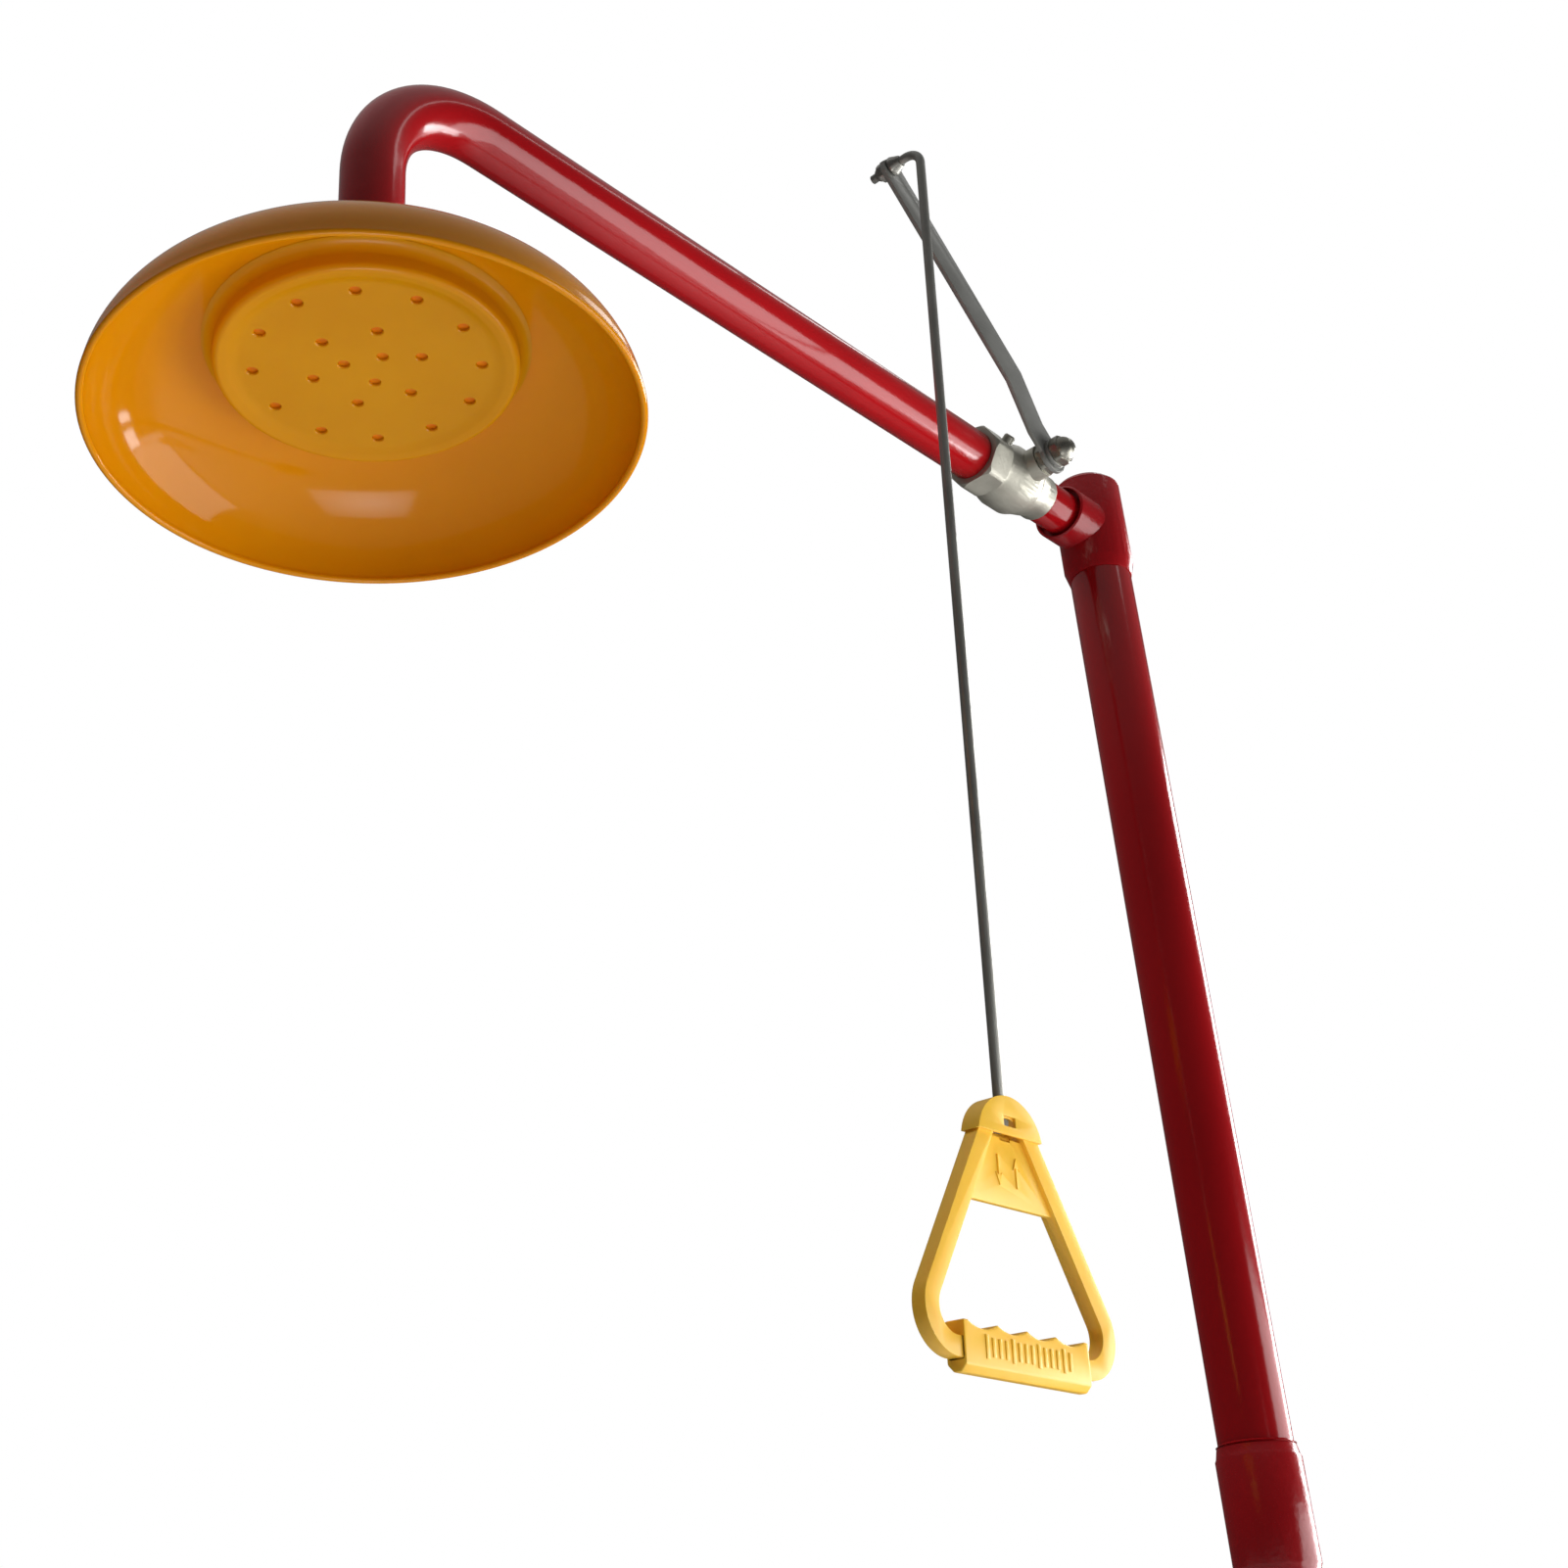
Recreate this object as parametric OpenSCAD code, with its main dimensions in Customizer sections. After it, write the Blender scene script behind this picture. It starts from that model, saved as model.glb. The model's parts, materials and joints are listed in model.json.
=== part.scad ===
// Floor-standing emergency drench shower: a painted column with a side arm, a bowl-shaped
// shower head, and a ball valve worked by a lever, a pull rod and a triangular pull handle.
// Origin: middle of the floor flange's underside. +Z is up, the arm runs along -X, and the
// valve's stem, lever and pull rod are on the -Y side.

/* [Layout] */
// Height of the arm's centreline above the floor
arm_h = 2330; // [2000:10:2450]
// Horizontal reach from the column to the shower head's centre
reach = 656; // [520:2:760]
// Height of the joint between the lower and upper column pipes
coupling_h = 1662; // [1300:2:1780]
// Height of the water inlet above the floor
inlet_h = 330; // [220:10:600]

/* [Pipes] */
// Outside diameter of the column pipe
column_od = 42.4; // [38:0.1:50]
// Outside diameter of the arm and drop pipe
arm_od = 33.7; // [30:0.1:38]
// Wall of every pipe
pipe_wall = 3.2; // [2:0.1:4]
// Bend radius of the arm's elbow, on its centreline
elbow_r = 75; // [50:1:100]
// Depth to which a pipe is screwed into a fitting
pipe_seat = 18; // [12:1:22]

/* [Fittings] */
// Radial wall of the column's fittings outside the pipe
fitting_wall = 3; // [2.5:0.5:6]
// Length of the column coupling
coupling_len = 72; // [50:1:90]
// Outside diameter of the tee's branch
branch_od = 40; // [38.5:0.5:50]
// Distance from the column's axis to the branch's face
branch_len = 42; // [38:1:60]
// Length of nipple that shows between the tee and the valve
nipple_gap = 24; // [10:1:30]

/* [Floor flange] */
// Diameter of the floor flange
flange_d = 280; // [240:5:340]
// Thickness of the floor flange
flange_t = 12; // [8:1:20]
// Pitch circle of the anchor bolts
bolt_pcd = 230; // [200:5:240]
// Diameter of each anchor bolt hole
bolt_hole_d = 14; // [10:1:18]
// Number of anchor bolts
bolt_count = 4; // [3:1:8]
// Radius of the water inlet's threaded wall
inlet_r = 19.5; // [18:0.1:20]

/* [Valve] */
// Radius of the valve body around the ball
valve_r = 23; // [22:0.5:30]
// Width across flats of the body's hexagon end
hex_af = 40.5; // [40:0.5:50]
// Radius of the ball
ball_r = 16.5; // [13:0.5:17]
// Diameter of the ball's waterway
ball_bore = 20; // [12:0.5:20]
// Diameter of the valve stem
stem_d = 10; // [8:0.5:11]
// Angle through which the lever turns from closed to open
lever_swing = 90; // [60:5:90]

/* [Lever and rod] */
// Distance from the stem to the rod's hole in the lever
lever_len = 222; // [160:2:260]
// Width of the lever strip
lever_w = 22; // [14:1:24]
// Thickness of the lever strip
lever_t = 3; // [2:0.5:5]
// Sideways crank of the lever, away from the pipe
lever_crank = 5.5; // [1:0.5:12]
// Angle of the closed lever above the horizontal
lever_rise = 45.8; // [30:0.1:60]
// Diameter of the pull rod
rod_d = 6; // [4:0.5:7]
// Length of the pull rod below its bend
rod_len = 653; // [450:1:760]
// Lean of the rod towards the column, which brings the handle's weight under the lever's hole
rod_lean = 3.17; // [0:0.01:6]
// Radius of the rod's bend, on its centreline
rod_bend_r = 12; // [8:1:20]

/* [Shower head] */
// Radius of the bowl's rim
bowl_r = 133.2; // [110:0.2:160]
// Depth of the bowl from its flat top to its rim
bowl_depth = 53; // [44:1:70]
// Width of the bowl's curved shoulder
bowl_shoulder = 75; // [50:1:80]
// Wall of the bowl
bowl_wall = 3; // [2:0.25:4]
// Drop from the arm's centreline to the bowl's rim
head_drop = 236.7; // [200:1:300]
// Radius of the spray plate
plate_r = 73.7; // [64:0.1:76]
// Height of the spray plate's face above the rim
plate_rise = 34.1; // [28:0.5:40]
// Diameter of each spray hole
spray_hole_d = 5.6; // [3:0.2:7]

/* [Pull handle] */
// Thickness of the handle's frame
frame_t = 8.6; // [8:0.2:10]
// Width of the frame's bars
bar_w = 10; // [8:0.5:12]
// Half the distance between the centres of the lower corners
corner_x = 50; // [42:1:58]
// Distance from the top corner's centre to the lower corners' centres
frame_h = 91; // [80:1:110]
// Outside radius of the lower corners
corner_r = 23; // [20:1:26]
// Outside radius of the hidden top corner
apex_r = 21.6; // [19:0.2:22]
// Thickness of the cap and of the grip
shell_t = 12; // [11.4:0.2:15]
// Radius of the cap's arched top
cap_r = 25.5; // [24.5:0.1:28]
// Length of the grip
grip_len = 96; // [80:1:100]
// Distance between neighbouring finger hollows
finger_pitch = 22.3; // [19:0.1:23]
// Turn of the handle about the rod
handle_turn = -3.3; // [-15:0.1:15]

/* [Hidden] */
$fn = 72;

red = [0.70, 0.06, 0.09];
amber = [0.86, 0.58, 0.04];
yellow = [0.93, 0.72, 0.30];
steel = [0.55, 0.55, 0.53];
plated = [0.74, 0.73, 0.68];
white = [0.93, 0.93, 0.90];
black = [0.12, 0.12, 0.12];

eps = 0.5;                        // overrun of a cut past the face that it opens
thread_gap = 0.05;                // radial clearance of a pipe in its fitting
run_gap = 0.1;                    // radial clearance of a running fit
face_gap = 0.3;                   // clearance between faces of pieces that move apart

// Column and fittings
column_id = column_od - 2 * pipe_wall;
arm_id = arm_od - 2 * pipe_wall;
fitting_od = column_od + 2 * fitting_wall;
flange_hub_h = 40;
flange_hub_od = column_od + 22;
flange_chamfer = 3;
inlet_tee_half = 45;              // half length of the inlet tee along the column
inlet_branch_len = 46;
inlet_branch_od = 2 * inlet_r + 11;
inlet_thread_len = 24;
lower_riser_top = inlet_h - inlet_tee_half + pipe_seat;
lower_column_base = inlet_h + inlet_tee_half - pipe_seat;
tee_below = 40;                   // tee body's reach below the arm's centreline
tee_above = 35;                   // and above it, up to the cap
cap_h = 6;
cap_chamfer = 5;
cap_spigot = 8;
recess_depth = 6;                 // annular recess in the branch's face
recess_wall = 1.6;
pipe_fillet = 2;                  // small chamfer on the ends of fittings
sleeve_bevel = 7;                 // length of the long bevel on each end of the coupling
sleeve_lip = 0.5;                 // wall left at a bevelled open end
tee_bevel = 10;                   // length of the bevel under the top tee
branch_fillet = 1;

// Valve, along the arm's centreline
tail_face = branch_len + nipple_gap;
tail_collar = 8;                  // length of the tail's plain collar
tail_r = 16.4;
spigot_r = 13.2;                  // reduced end of the nipple inside the tail
spigot_len = 13;
nipple_r = 15.4;
ball_x = tail_face + 35;          // distance from the column's axis to the stem's axis
body_near = ball_x - 13;          // body's joint with the tail
body_end_r = 20.5;
body_neck = ball_x + 20;
hex_near = body_neck + 3;
hex_far = hex_near + 19;
neck_r = 20;
lug_r = 4;                        // small stop lug on the body's neck
lug_reach = 25.5;
lug_turn = 37;
cavity_r = ball_r + 0.6;
seat_in = 10;                     // seat ring's faces, measured from the ball's centre
seat_out = 16;
seat_r = 15;
tail_thread_r = 16.8;
tail_plug = 4;                    // length of the tail's thread inside the body
seal_t = 1.2;
arm_start = hex_far - 16;
boss_r = 11.5;
boss_y = 29;                      // stem boss's face, measured from the centreline
gland_h = 5;
gland_af = 20;
packing_r = 8;
packing_in = 21;
packing_out = 25.5;
gland_y = boss_y + gland_h;
hub_y = gland_y + 0.5;            // lever hub's inner face
stem_flat = 0.7 * stem_d;         // distance across the stem's two flats
tang_t = 4;                       // thickness of the stem's tang in the ball's slot
tang_depth = 4.5;                 // depth of that slot
stem_foot_r = 6.5;
stem_foot = cavity_r + 0.3;
washer_t = 3;
washer_r = 10.4;
nut_af = 19;
nut_h = 6;
dome_r = 9;
lever_nut_y = hub_y + lever_t + washer_t;

// Lever
hub_r = 13;
lever_end = 6.5;                  // strip past the rod's hole
lever_corner = 5;
crank_from = 22;
crank_to = 60;
lever_y = hub_y + lever_crank;    // inner face of the lever's outer stretch
rod_hole_x = ball_x + lever_len * cos(lever_rise);
rod_hole_z = arm_h + lever_len * sin(lever_rise);

// Rod
rod_r = rod_d / 2;
bend_swell = 0.06;                // swelling of the rod at each end of its bend
rod_nut_af = 12;                  // domed nut behind the lever
rod_nut_h = 4;
rod_dome_r = 5.2;
rod_washer_r = 6.8;
rod_washer_t = 1.2;
rod_collar_r = 6.5;               // tapered collar in front of the lever
rod_collar_tip = 4;
rod_collar_h = 8;
rod_reach = 2.7;                  // straight stretch between the collar and the bend
rod_nut_y = lever_y - face_gap - rod_washer_t;
rod_end_y = rod_nut_y - rod_nut_h;
rod_turn_y = lever_y + lever_t + face_gap + rod_collar_h + rod_reach;
rod_turn = 90 + rod_lean;
rod_top_y = rod_turn_y + rod_bend_r * sin(rod_turn);
rod_top_z = rod_hole_z - rod_bend_r * (1 - cos(rod_turn));
stop_r = 4;
stop_h = 6;

// Shower head
rim_z = arm_h - head_drop;
bowl_top_z = rim_z + bowl_depth;
crown_r = bowl_r - bowl_shoulder;
drop_end = bowl_top_z - 11;       // lower end of the drop pipe, inside the head
head_nut_af = 46;
head_nut_h = 6;
locknut_af = 44;
locknut_h = 6;
gasket_t = 1.5;
plate_t = 3;
plate_face_z = rim_z + plate_rise;
plate_edge = 5;                   // width of the plate's rounded edge
plate_dish = 2.2;                 // depth of the flat inside the edge
plate_slope = 6;                  // width of the step from the edge to the flat
skirt_wall = 3;
shoulder_steps = 14;
seal_h = 1.4;
skirt_h = ceiling(plate_r) - plate_rise - seal_h - 0.25;
ring_radii = [55.1, 27.6, 11.3];
ring_counts = [12, 6, 3];
ring_turns = [16.3, 1.6, 32.3];

// Handle, in its own frame: x across, z up along the rod, and the top of its travel at z = 0
apex_z = -27;
corner_z = apex_z - frame_h;
slope = atan(corner_x / frame_h) + asin((corner_r - apex_r) / norm([corner_x, frame_h]));
cap_centre = apex_z - 2.5;
cap_base = apex_z + 2.4;
cavity_gap = 0.1;
window_w = 9.5;
window_h = 5.5;
window_z = apex_z + 9.5;
web_t = 3;
web_base = apex_z - 34;
arrow_h = 16;
arrow_w = 5;
arrow_line = 1.3;
arrow_rise = 0.8;
grip_top = corner_z - corner_r + bar_w + 8;
grip_base = corner_z - corner_r - 6.5;
grip_chamfer = 3.5;
finger_depth = 3.2;
finger_count = 4;
finger_r = (pow(finger_pitch / 2, 2) + pow(finger_depth, 2)) / (2 * finger_depth);
handle_s = rod_len + (apex_z + apex_r) - bar_w - face_gap - stop_h;
handle_y = rod_top_y - handle_s * sin(rod_lean);
handle_z = rod_top_z - handle_s * cos(rod_lean);

// Height of the bowl's inner face above the rim, at radius r on the curved shoulder
function ceiling(r) =
    (bowl_depth - bowl_wall) * sqrt(1 - pow((r - crown_r) / (bowl_shoulder - bowl_wall), 2));

function ellipse_arc(cx, rx, rz, steps) =
    [for (i = [0 : steps]) [cx + rx * cos(90 * i / steps), rz * sin(90 * i / steps)]];

module along_arm(d) translate([-d, 0, arm_h]) rotate([0, -90, 0]) children();
module along_y(x, y, z) translate([x, y, z]) rotate([90, 0, 0]) children();
module in_lever() translate([-ball_x, 0, arm_h]) rotate([0, lever_rise - 180, 0]) children();
module on_rod() translate([-rod_hole_x, -rod_top_y, rod_top_z]) rotate([rod_lean, 0, 0]) children();
module in_handle() {
    translate([-rod_hole_x, -handle_y, handle_z])
        rotate([rod_lean, 0, 0]) rotate([0, 0, handle_turn]) children();
}

module tube(r_out, r_in, h) {
    difference() {
        cylinder(r=r_out, h=h);
        translate([0, 0, -eps]) cylinder(r=r_in, h=h + 2 * eps);
    }
}

module chamfered(r, h, c) {
    rotate_extrude()
        polygon([[0, 0], [r - c, 0], [r, c], [r, h - c], [r - c, h], [0, h]]);
}

module hexagon(af, h) cylinder(d=af / cos(30), h=h, $fn=6);

module ring_of_holes(pcd, hole_d, count, h) {
    for (i = [0 : count - 1])
        rotate([0, 0, 45 + 360 * i / count]) translate([pcd / 2, 0, 0]) cylinder(d=hole_d, h=h);
}

// ---- Column ----

module floor_flange() {
    color(red) difference() {
        union() {
            rotate_extrude() polygon([
                [0, 0], [flange_d / 2, 0], [flange_d / 2, flange_t - flange_chamfer],
                [flange_d / 2 - flange_chamfer, flange_t], [0, flange_t]
            ]);
            chamfered(flange_hub_od / 2, flange_hub_h, pipe_fillet);
        }
        translate([0, 0, flange_hub_h - pipe_seat]) cylinder(r=column_od / 2 + thread_gap, h=flange_hub_h);
        translate([0, 0, -eps]) ring_of_holes(bolt_pcd, bolt_hole_d, bolt_count, flange_t + 2 * eps);
    }
}

module lower_riser() {
    base = flange_hub_h - pipe_seat;
    color(red) translate([0, 0, base]) tube(column_od / 2, column_id / 2, lower_riser_top - base);
}

module inlet_tee() {
    color(red) translate([0, 0, inlet_h]) difference() {
        union() {
            translate([0, 0, -inlet_tee_half]) chamfered(fitting_od / 2, 2 * inlet_tee_half, pipe_fillet);
            rotate([0, 90, 0]) chamfered(inlet_branch_od / 2, inlet_branch_len, pipe_fillet);
        }
        for (z = [-inlet_tee_half - eps, inlet_tee_half - pipe_seat])
            translate([0, 0, z]) cylinder(r=column_od / 2 + thread_gap, h=pipe_seat + eps);
        translate([0, 0, -inlet_tee_half]) cylinder(r=column_id / 2, h=2 * inlet_tee_half);
        rotate([0, 90, 0]) cylinder(r=arm_id / 2, h=inlet_branch_len);
        translate([inlet_branch_len - inlet_thread_len, 0, 0]) rotate([0, 90, 0])
            cylinder(r=inlet_r, h=inlet_thread_len + eps);
    }
}

module lower_column() {
    top = coupling_h - 1;
    color(red) translate([0, 0, lower_column_base])
        tube(column_od / 2, column_id / 2, top - lower_column_base);
}

module column_coupling() {
    color(red) translate([0, 0, coupling_h - coupling_len / 2]) difference() {
        rotate_extrude() polygon([
            [0, 0],
            [column_od / 2 + sleeve_lip, 0],
            [fitting_od / 2, sleeve_bevel],
            [fitting_od / 2, coupling_len - sleeve_bevel],
            [column_od / 2 + sleeve_lip, coupling_len],
            [0, coupling_len]
        ]);
        translate([0, 0, -eps]) cylinder(r=column_od / 2 + thread_gap, h=coupling_len + 2 * eps);
    }
}

module upper_column() {
    base = coupling_h + 1;
    color(red) translate([0, 0, base])
        tube(column_od / 2, column_id / 2, arm_h - tee_below + pipe_seat - base);
}

module top_tee() {
    color(red) translate([0, 0, arm_h]) difference() {
        union() {
            translate([0, 0, tee_bevel - tee_below])
                cylinder(r=fitting_od / 2, h=tee_below + tee_above - tee_bevel);
            translate([0, 0, -tee_below])
                cylinder(r1=column_od / 2 + sleeve_lip, r2=fitting_od / 2, h=tee_bevel);
            rotate([0, -90, 0]) cylinder(d=branch_od, h=branch_len - branch_fillet);
            translate([branch_fillet - branch_len, 0, 0]) rotate([0, -90, 0])
                cylinder(d1=branch_od, d2=branch_od - 2 * branch_fillet, h=branch_fillet);
        }
        translate([0, 0, -tee_below - eps]) cylinder(r=column_od / 2 + thread_gap, h=pipe_seat + eps);
        translate([0, 0, -tee_below]) cylinder(r=column_id / 2, h=tee_below + tee_above + eps);
        rotate([0, -90, 0]) cylinder(r=nipple_r + thread_gap, h=branch_len + eps);
        translate([recess_depth - branch_len, 0, 0]) rotate([0, -90, 0])
            cylinder(r=branch_od / 2 - recess_wall, h=recess_depth + eps);
    }
}

module tee_cap() {
    color(red) translate([0, 0, arm_h + tee_above]) union() {
        cylinder(r=fitting_od / 2, h=cap_h - cap_chamfer);
        translate([0, 0, cap_h - cap_chamfer])
            cylinder(r1=fitting_od / 2, r2=fitting_od / 2 - cap_chamfer, h=cap_chamfer);
        translate([0, 0, -cap_spigot]) cylinder(r=column_id / 2 - thread_gap, h=cap_spigot + 1);
    }
}

module valve_nipple() {
    inner = branch_len - pipe_seat;
    color(red) along_arm(0) difference() {
        union() {
            translate([0, 0, inner]) cylinder(r=nipple_r, h=tail_face - inner);
            translate([0, 0, inner]) cylinder(r=spigot_r, h=tail_face - inner + spigot_len);
        }
        translate([0, 0, inner - eps]) cylinder(d=ball_bore, h=tail_face);
    }
}

// ---- Valve ----

module valve_body() {
    color(plated) difference() {
        union() {
            along_arm(0) rotate_extrude() polygon([
                [0, body_near], [body_end_r, body_near], [valve_r, ball_x - 7], [valve_r, ball_x + 7],
                [neck_r, body_neck], [neck_r, hex_near + 1], [0, hex_near + 1]
            ]);
            along_arm((body_neck + hex_near) / 2) rotate([0, 0, -90 + lug_turn])
                translate([neck_r - 6, 0, 0]) rotate([0, 90, 0]) chamfered(lug_r, lug_reach - neck_r + 6, 1);
            along_arm(hex_near) intersection() {
                rotate([0, 0, 30]) hexagon(hex_af, hex_far - hex_near);
                chamfered(hex_af / 2 + 2.4, hex_far - hex_near, 1.8);
            }
            along_y(-ball_x, -15, arm_h) cylinder(r=boss_r, h=boss_y - 15);
        }
        along_arm(body_near - eps) cylinder(r=tail_thread_r, h=tail_plug + seal_t + eps);
        along_arm(body_near) cylinder(r=seat_r, h=ball_x + seat_out - body_near);
        along_arm(ball_x) cylinder(d=ball_bore, h=hex_far - ball_x);
        along_arm(arm_start) cylinder(r=arm_od / 2 + thread_gap, h=hex_far - arm_start + eps);
        translate([-ball_x, 0, arm_h]) sphere(r=cavity_r);
        along_y(-ball_x, 0, arm_h) cylinder(r=stem_d / 2 + run_gap, h=boss_y + eps);
        along_y(-ball_x, 0, arm_h) cylinder(r=stem_foot_r + run_gap, h=stem_foot + 1.6);
        along_y(-ball_x, -packing_in, arm_h) cylinder(r=packing_r, h=boss_y - packing_in + eps);
    }
}

module valve_tail() {
    pocket = ball_x - seat_out;
    color(plated) along_arm(0) difference() {
        union() {
            rotate_extrude() polygon([
                [0, tail_face], [tail_r - 1, tail_face], [tail_r, tail_face + 1],
                [tail_r, tail_face + tail_collar], [body_end_r, body_near], [0, body_near]
            ]);
            translate([0, 0, body_near - 1]) cylinder(r=tail_thread_r - thread_gap, h=tail_plug + 1);
        }
        translate([0, 0, tail_face - eps]) cylinder(r=spigot_r + thread_gap, h=spigot_len + eps);
        translate([0, 0, tail_face]) cylinder(d=ball_bore, h=body_near - tail_face + tail_plug + eps);
        translate([0, 0, pocket]) cylinder(r=seat_r, h=body_near + tail_plug + eps - pocket);
    }
}

module body_seal() {
    color(white) along_arm(body_near + tail_plug)
        tube(tail_thread_r - thread_gap, seat_r, seal_t);
}

module ball_seats() {
    seat_bore = ball_bore / 2 + 0.2;
    color(white) for (side = [-1, 1])
        along_arm(0) difference() {
            translate([0, 0, ball_x + side * (seat_in + seat_out) / 2 - (seat_out - seat_in) / 2])
                tube(seat_r - thread_gap, seat_bore, seat_out - seat_in);
            translate([0, 0, ball_x]) sphere(r=ball_r + run_gap);
        }
}

module stem_packing() {
    color(white) along_y(-ball_x, -packing_in, arm_h)
        tube(packing_r - thread_gap, stem_d / 2 + run_gap, packing_out - packing_in);
}

module gland_nut() {
    color(plated) difference() {
        union() {
            along_y(-ball_x, -boss_y, arm_h) intersection() {
                hexagon(gland_af, gland_h);
                chamfered(gland_af / 2 + 1.1, gland_h, 0.8);
            }
            along_y(-ball_x, -packing_out, arm_h)
                cylinder(r=packing_r - thread_gap, h=boss_y - packing_out + 1);
        }
        along_y(-ball_x, -packing_out + eps, arm_h) cylinder(r=stem_d / 2 + run_gap, h=gland_h + 4);
    }
}

module valve_ball() {
    color(plated) translate([-ball_x, 0, arm_h]) difference() {
        sphere(r=ball_r);
        rotate([0, 90 + lever_swing, 0]) translate([0, 0, -ball_r - eps])
            cylinder(d=ball_bore, h=2 * ball_r + 2 * eps);
        translate([-ball_r, -ball_r - eps, -tang_t / 2 - run_gap])
            cube([2 * ball_r, tang_depth + eps, tang_t + 2 * run_gap]);
    }
}

module valve_stem() {
    color(steel) difference() {
        union() {
            along_y(-ball_x, -cavity_r - 0.2, arm_h) cylinder(r=stem_foot_r, h=1.6);
            along_y(-ball_x, -cavity_r - 0.2, arm_h) cylinder(d=stem_d, h=lever_nut_y + nut_h - cavity_r);
            intersection() {
                along_y(-ball_x, tang_depth - ball_r - eps, arm_h)
                    cylinder(r=stem_foot_r - 0.5, h=cavity_r - ball_r + tang_depth + 0.1);
                translate([-ball_x - stem_foot_r, -cavity_r - 1, arm_h - tang_t / 2])
                    cube([2 * stem_foot_r, cavity_r, tang_t]);
            }
        }
        for (side = [0, 1])
            in_lever() mirror([0, 0, side])
                translate([-stem_d, -lever_nut_y + washer_t, stem_flat / 2])
                    cube([2 * stem_d, lever_t + 0.2, stem_d]);
    }
}

// ---- Lever ----

module lever_plan() {
    far = lever_len + lever_end;
    half = lever_w / 2;
    circle(r=hub_r);
    polygon([
        [0, -half], [far - lever_corner, -half], [far, lever_corner - half],
        [far, half - lever_corner], [far - lever_corner, half], [0, half]
    ]);
}

module lever_strip() {
    far = lever_len + 2 * lever_end;
    mirror([0, 1, 0]) linear_extrude(2 * hub_r + 2, center=true) polygon([
        [-hub_r - 2, hub_y], [crank_from, hub_y], [crank_to, lever_y], [far, lever_y],
        [far, lever_y + lever_t], [crank_to - 1, lever_y + lever_t],
        [crank_from - 1, hub_y + lever_t], [-hub_r - 2, hub_y + lever_t]
    ]);
}

module valve_lever() {
    color(steel) in_lever() difference() {
        intersection() {
            lever_strip();
            rotate([90, 0, 0]) linear_extrude(2 * lever_y) lever_plan();
        }
        intersection() {
            rotate([90, 0, 0]) cylinder(d=stem_d, h=2 * lever_y);
            translate([-stem_d, -2 * lever_y, -stem_flat / 2]) cube([2 * stem_d, 2 * lever_y, stem_flat]);
        }
        translate([lever_len, 0, 0]) rotate([90, 0, 0]) cylinder(r=rod_r + run_gap, h=2 * lever_y);
    }
}

module lever_washer() {
    color(steel) along_y(-ball_x, -hub_y - lever_t, arm_h) tube(washer_r, stem_d / 2 + run_gap, washer_t);
}

module lever_nut() {
    color(plated) difference() {
        union() {
            along_y(-ball_x, -lever_nut_y, arm_h) intersection() {
                hexagon(nut_af, nut_h);
                chamfered(nut_af / 2 + 1, nut_h, 0.7);
            }
            intersection() {
                translate([-ball_x, -lever_nut_y - nut_h + 1.5, arm_h]) sphere(r=dome_r);
                along_y(-ball_x, -lever_nut_y - 1, arm_h) cylinder(r=dome_r + 1, h=nut_h + dome_r);
            }
        }
        along_y(-ball_x, -lever_nut_y + eps, arm_h) cylinder(r=stem_d / 2 + thread_gap, h=nut_h + eps + 0.3);
    }
}

// ---- Pull rod ----

module pull_rod() {
    turn_centre = rod_hole_z - rod_bend_r;
    color(steel) union() {
        along_y(-rod_hole_x, -rod_end_y, rod_hole_z) cylinder(r=rod_r, h=rod_turn_y - rod_end_y);
        translate([-rod_hole_x, -rod_turn_y, rod_hole_z]) sphere(r=rod_r + bend_swell);
        translate([-rod_hole_x, -rod_turn_y, turn_centre]) rotate([90, 0, -90]) rotate([0, 0, 90 - rod_turn])
            rotate_extrude(angle=rod_turn) translate([rod_bend_r, 0]) circle(r=rod_r);
        on_rod() sphere(r=rod_r + bend_swell);
        on_rod() translate([0, 0, -rod_len]) cylinder(r=rod_r, h=rod_len);
    }
}

module rod_nut() {
    color(steel) difference() {
        union() {
            along_y(-rod_hole_x, rod_nut_h - rod_nut_y, rod_hole_z) intersection() {
                hexagon(rod_nut_af, rod_nut_h);
                chamfered(rod_nut_af / 2 + 0.6, rod_nut_h, 0.4);
            }
            intersection() {
                translate([-rod_hole_x, rod_nut_h - rod_nut_y - 0.8, rod_hole_z]) sphere(r=rod_dome_r);
                along_y(-rod_hole_x, rod_nut_h - rod_nut_y + 8, rod_hole_z) cylinder(r=rod_dome_r + 1, h=9);
            }
        }
        along_y(-rod_hole_x, rod_nut_h - rod_nut_y, rod_hole_z) cylinder(r=rod_r, h=rod_nut_h + eps);
    }
}

module rod_washer() {
    color(steel) along_y(-rod_hole_x, -rod_nut_y, rod_hole_z) tube(rod_washer_r, rod_r, rod_washer_t);
}

module rod_collar() {
    color(steel) along_y(-rod_hole_x, -lever_y - lever_t - face_gap, rod_hole_z) difference() {
        rotate_extrude() polygon([
            [0, 0], [rod_collar_r - 0.6, 0], [rod_collar_r, 0.6], [rod_collar_r, 2],
            [rod_collar_tip, rod_collar_h], [0, rod_collar_h]
        ]);
        translate([0, 0, -eps]) cylinder(r=rod_r, h=rod_collar_h + 2 * eps);
    }
}

module rod_stop() {
    color(steel) on_rod() translate([0, 0, -rod_len]) tube(stop_r, rod_r, stop_h);
}

// ---- Pull handle ----

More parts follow.
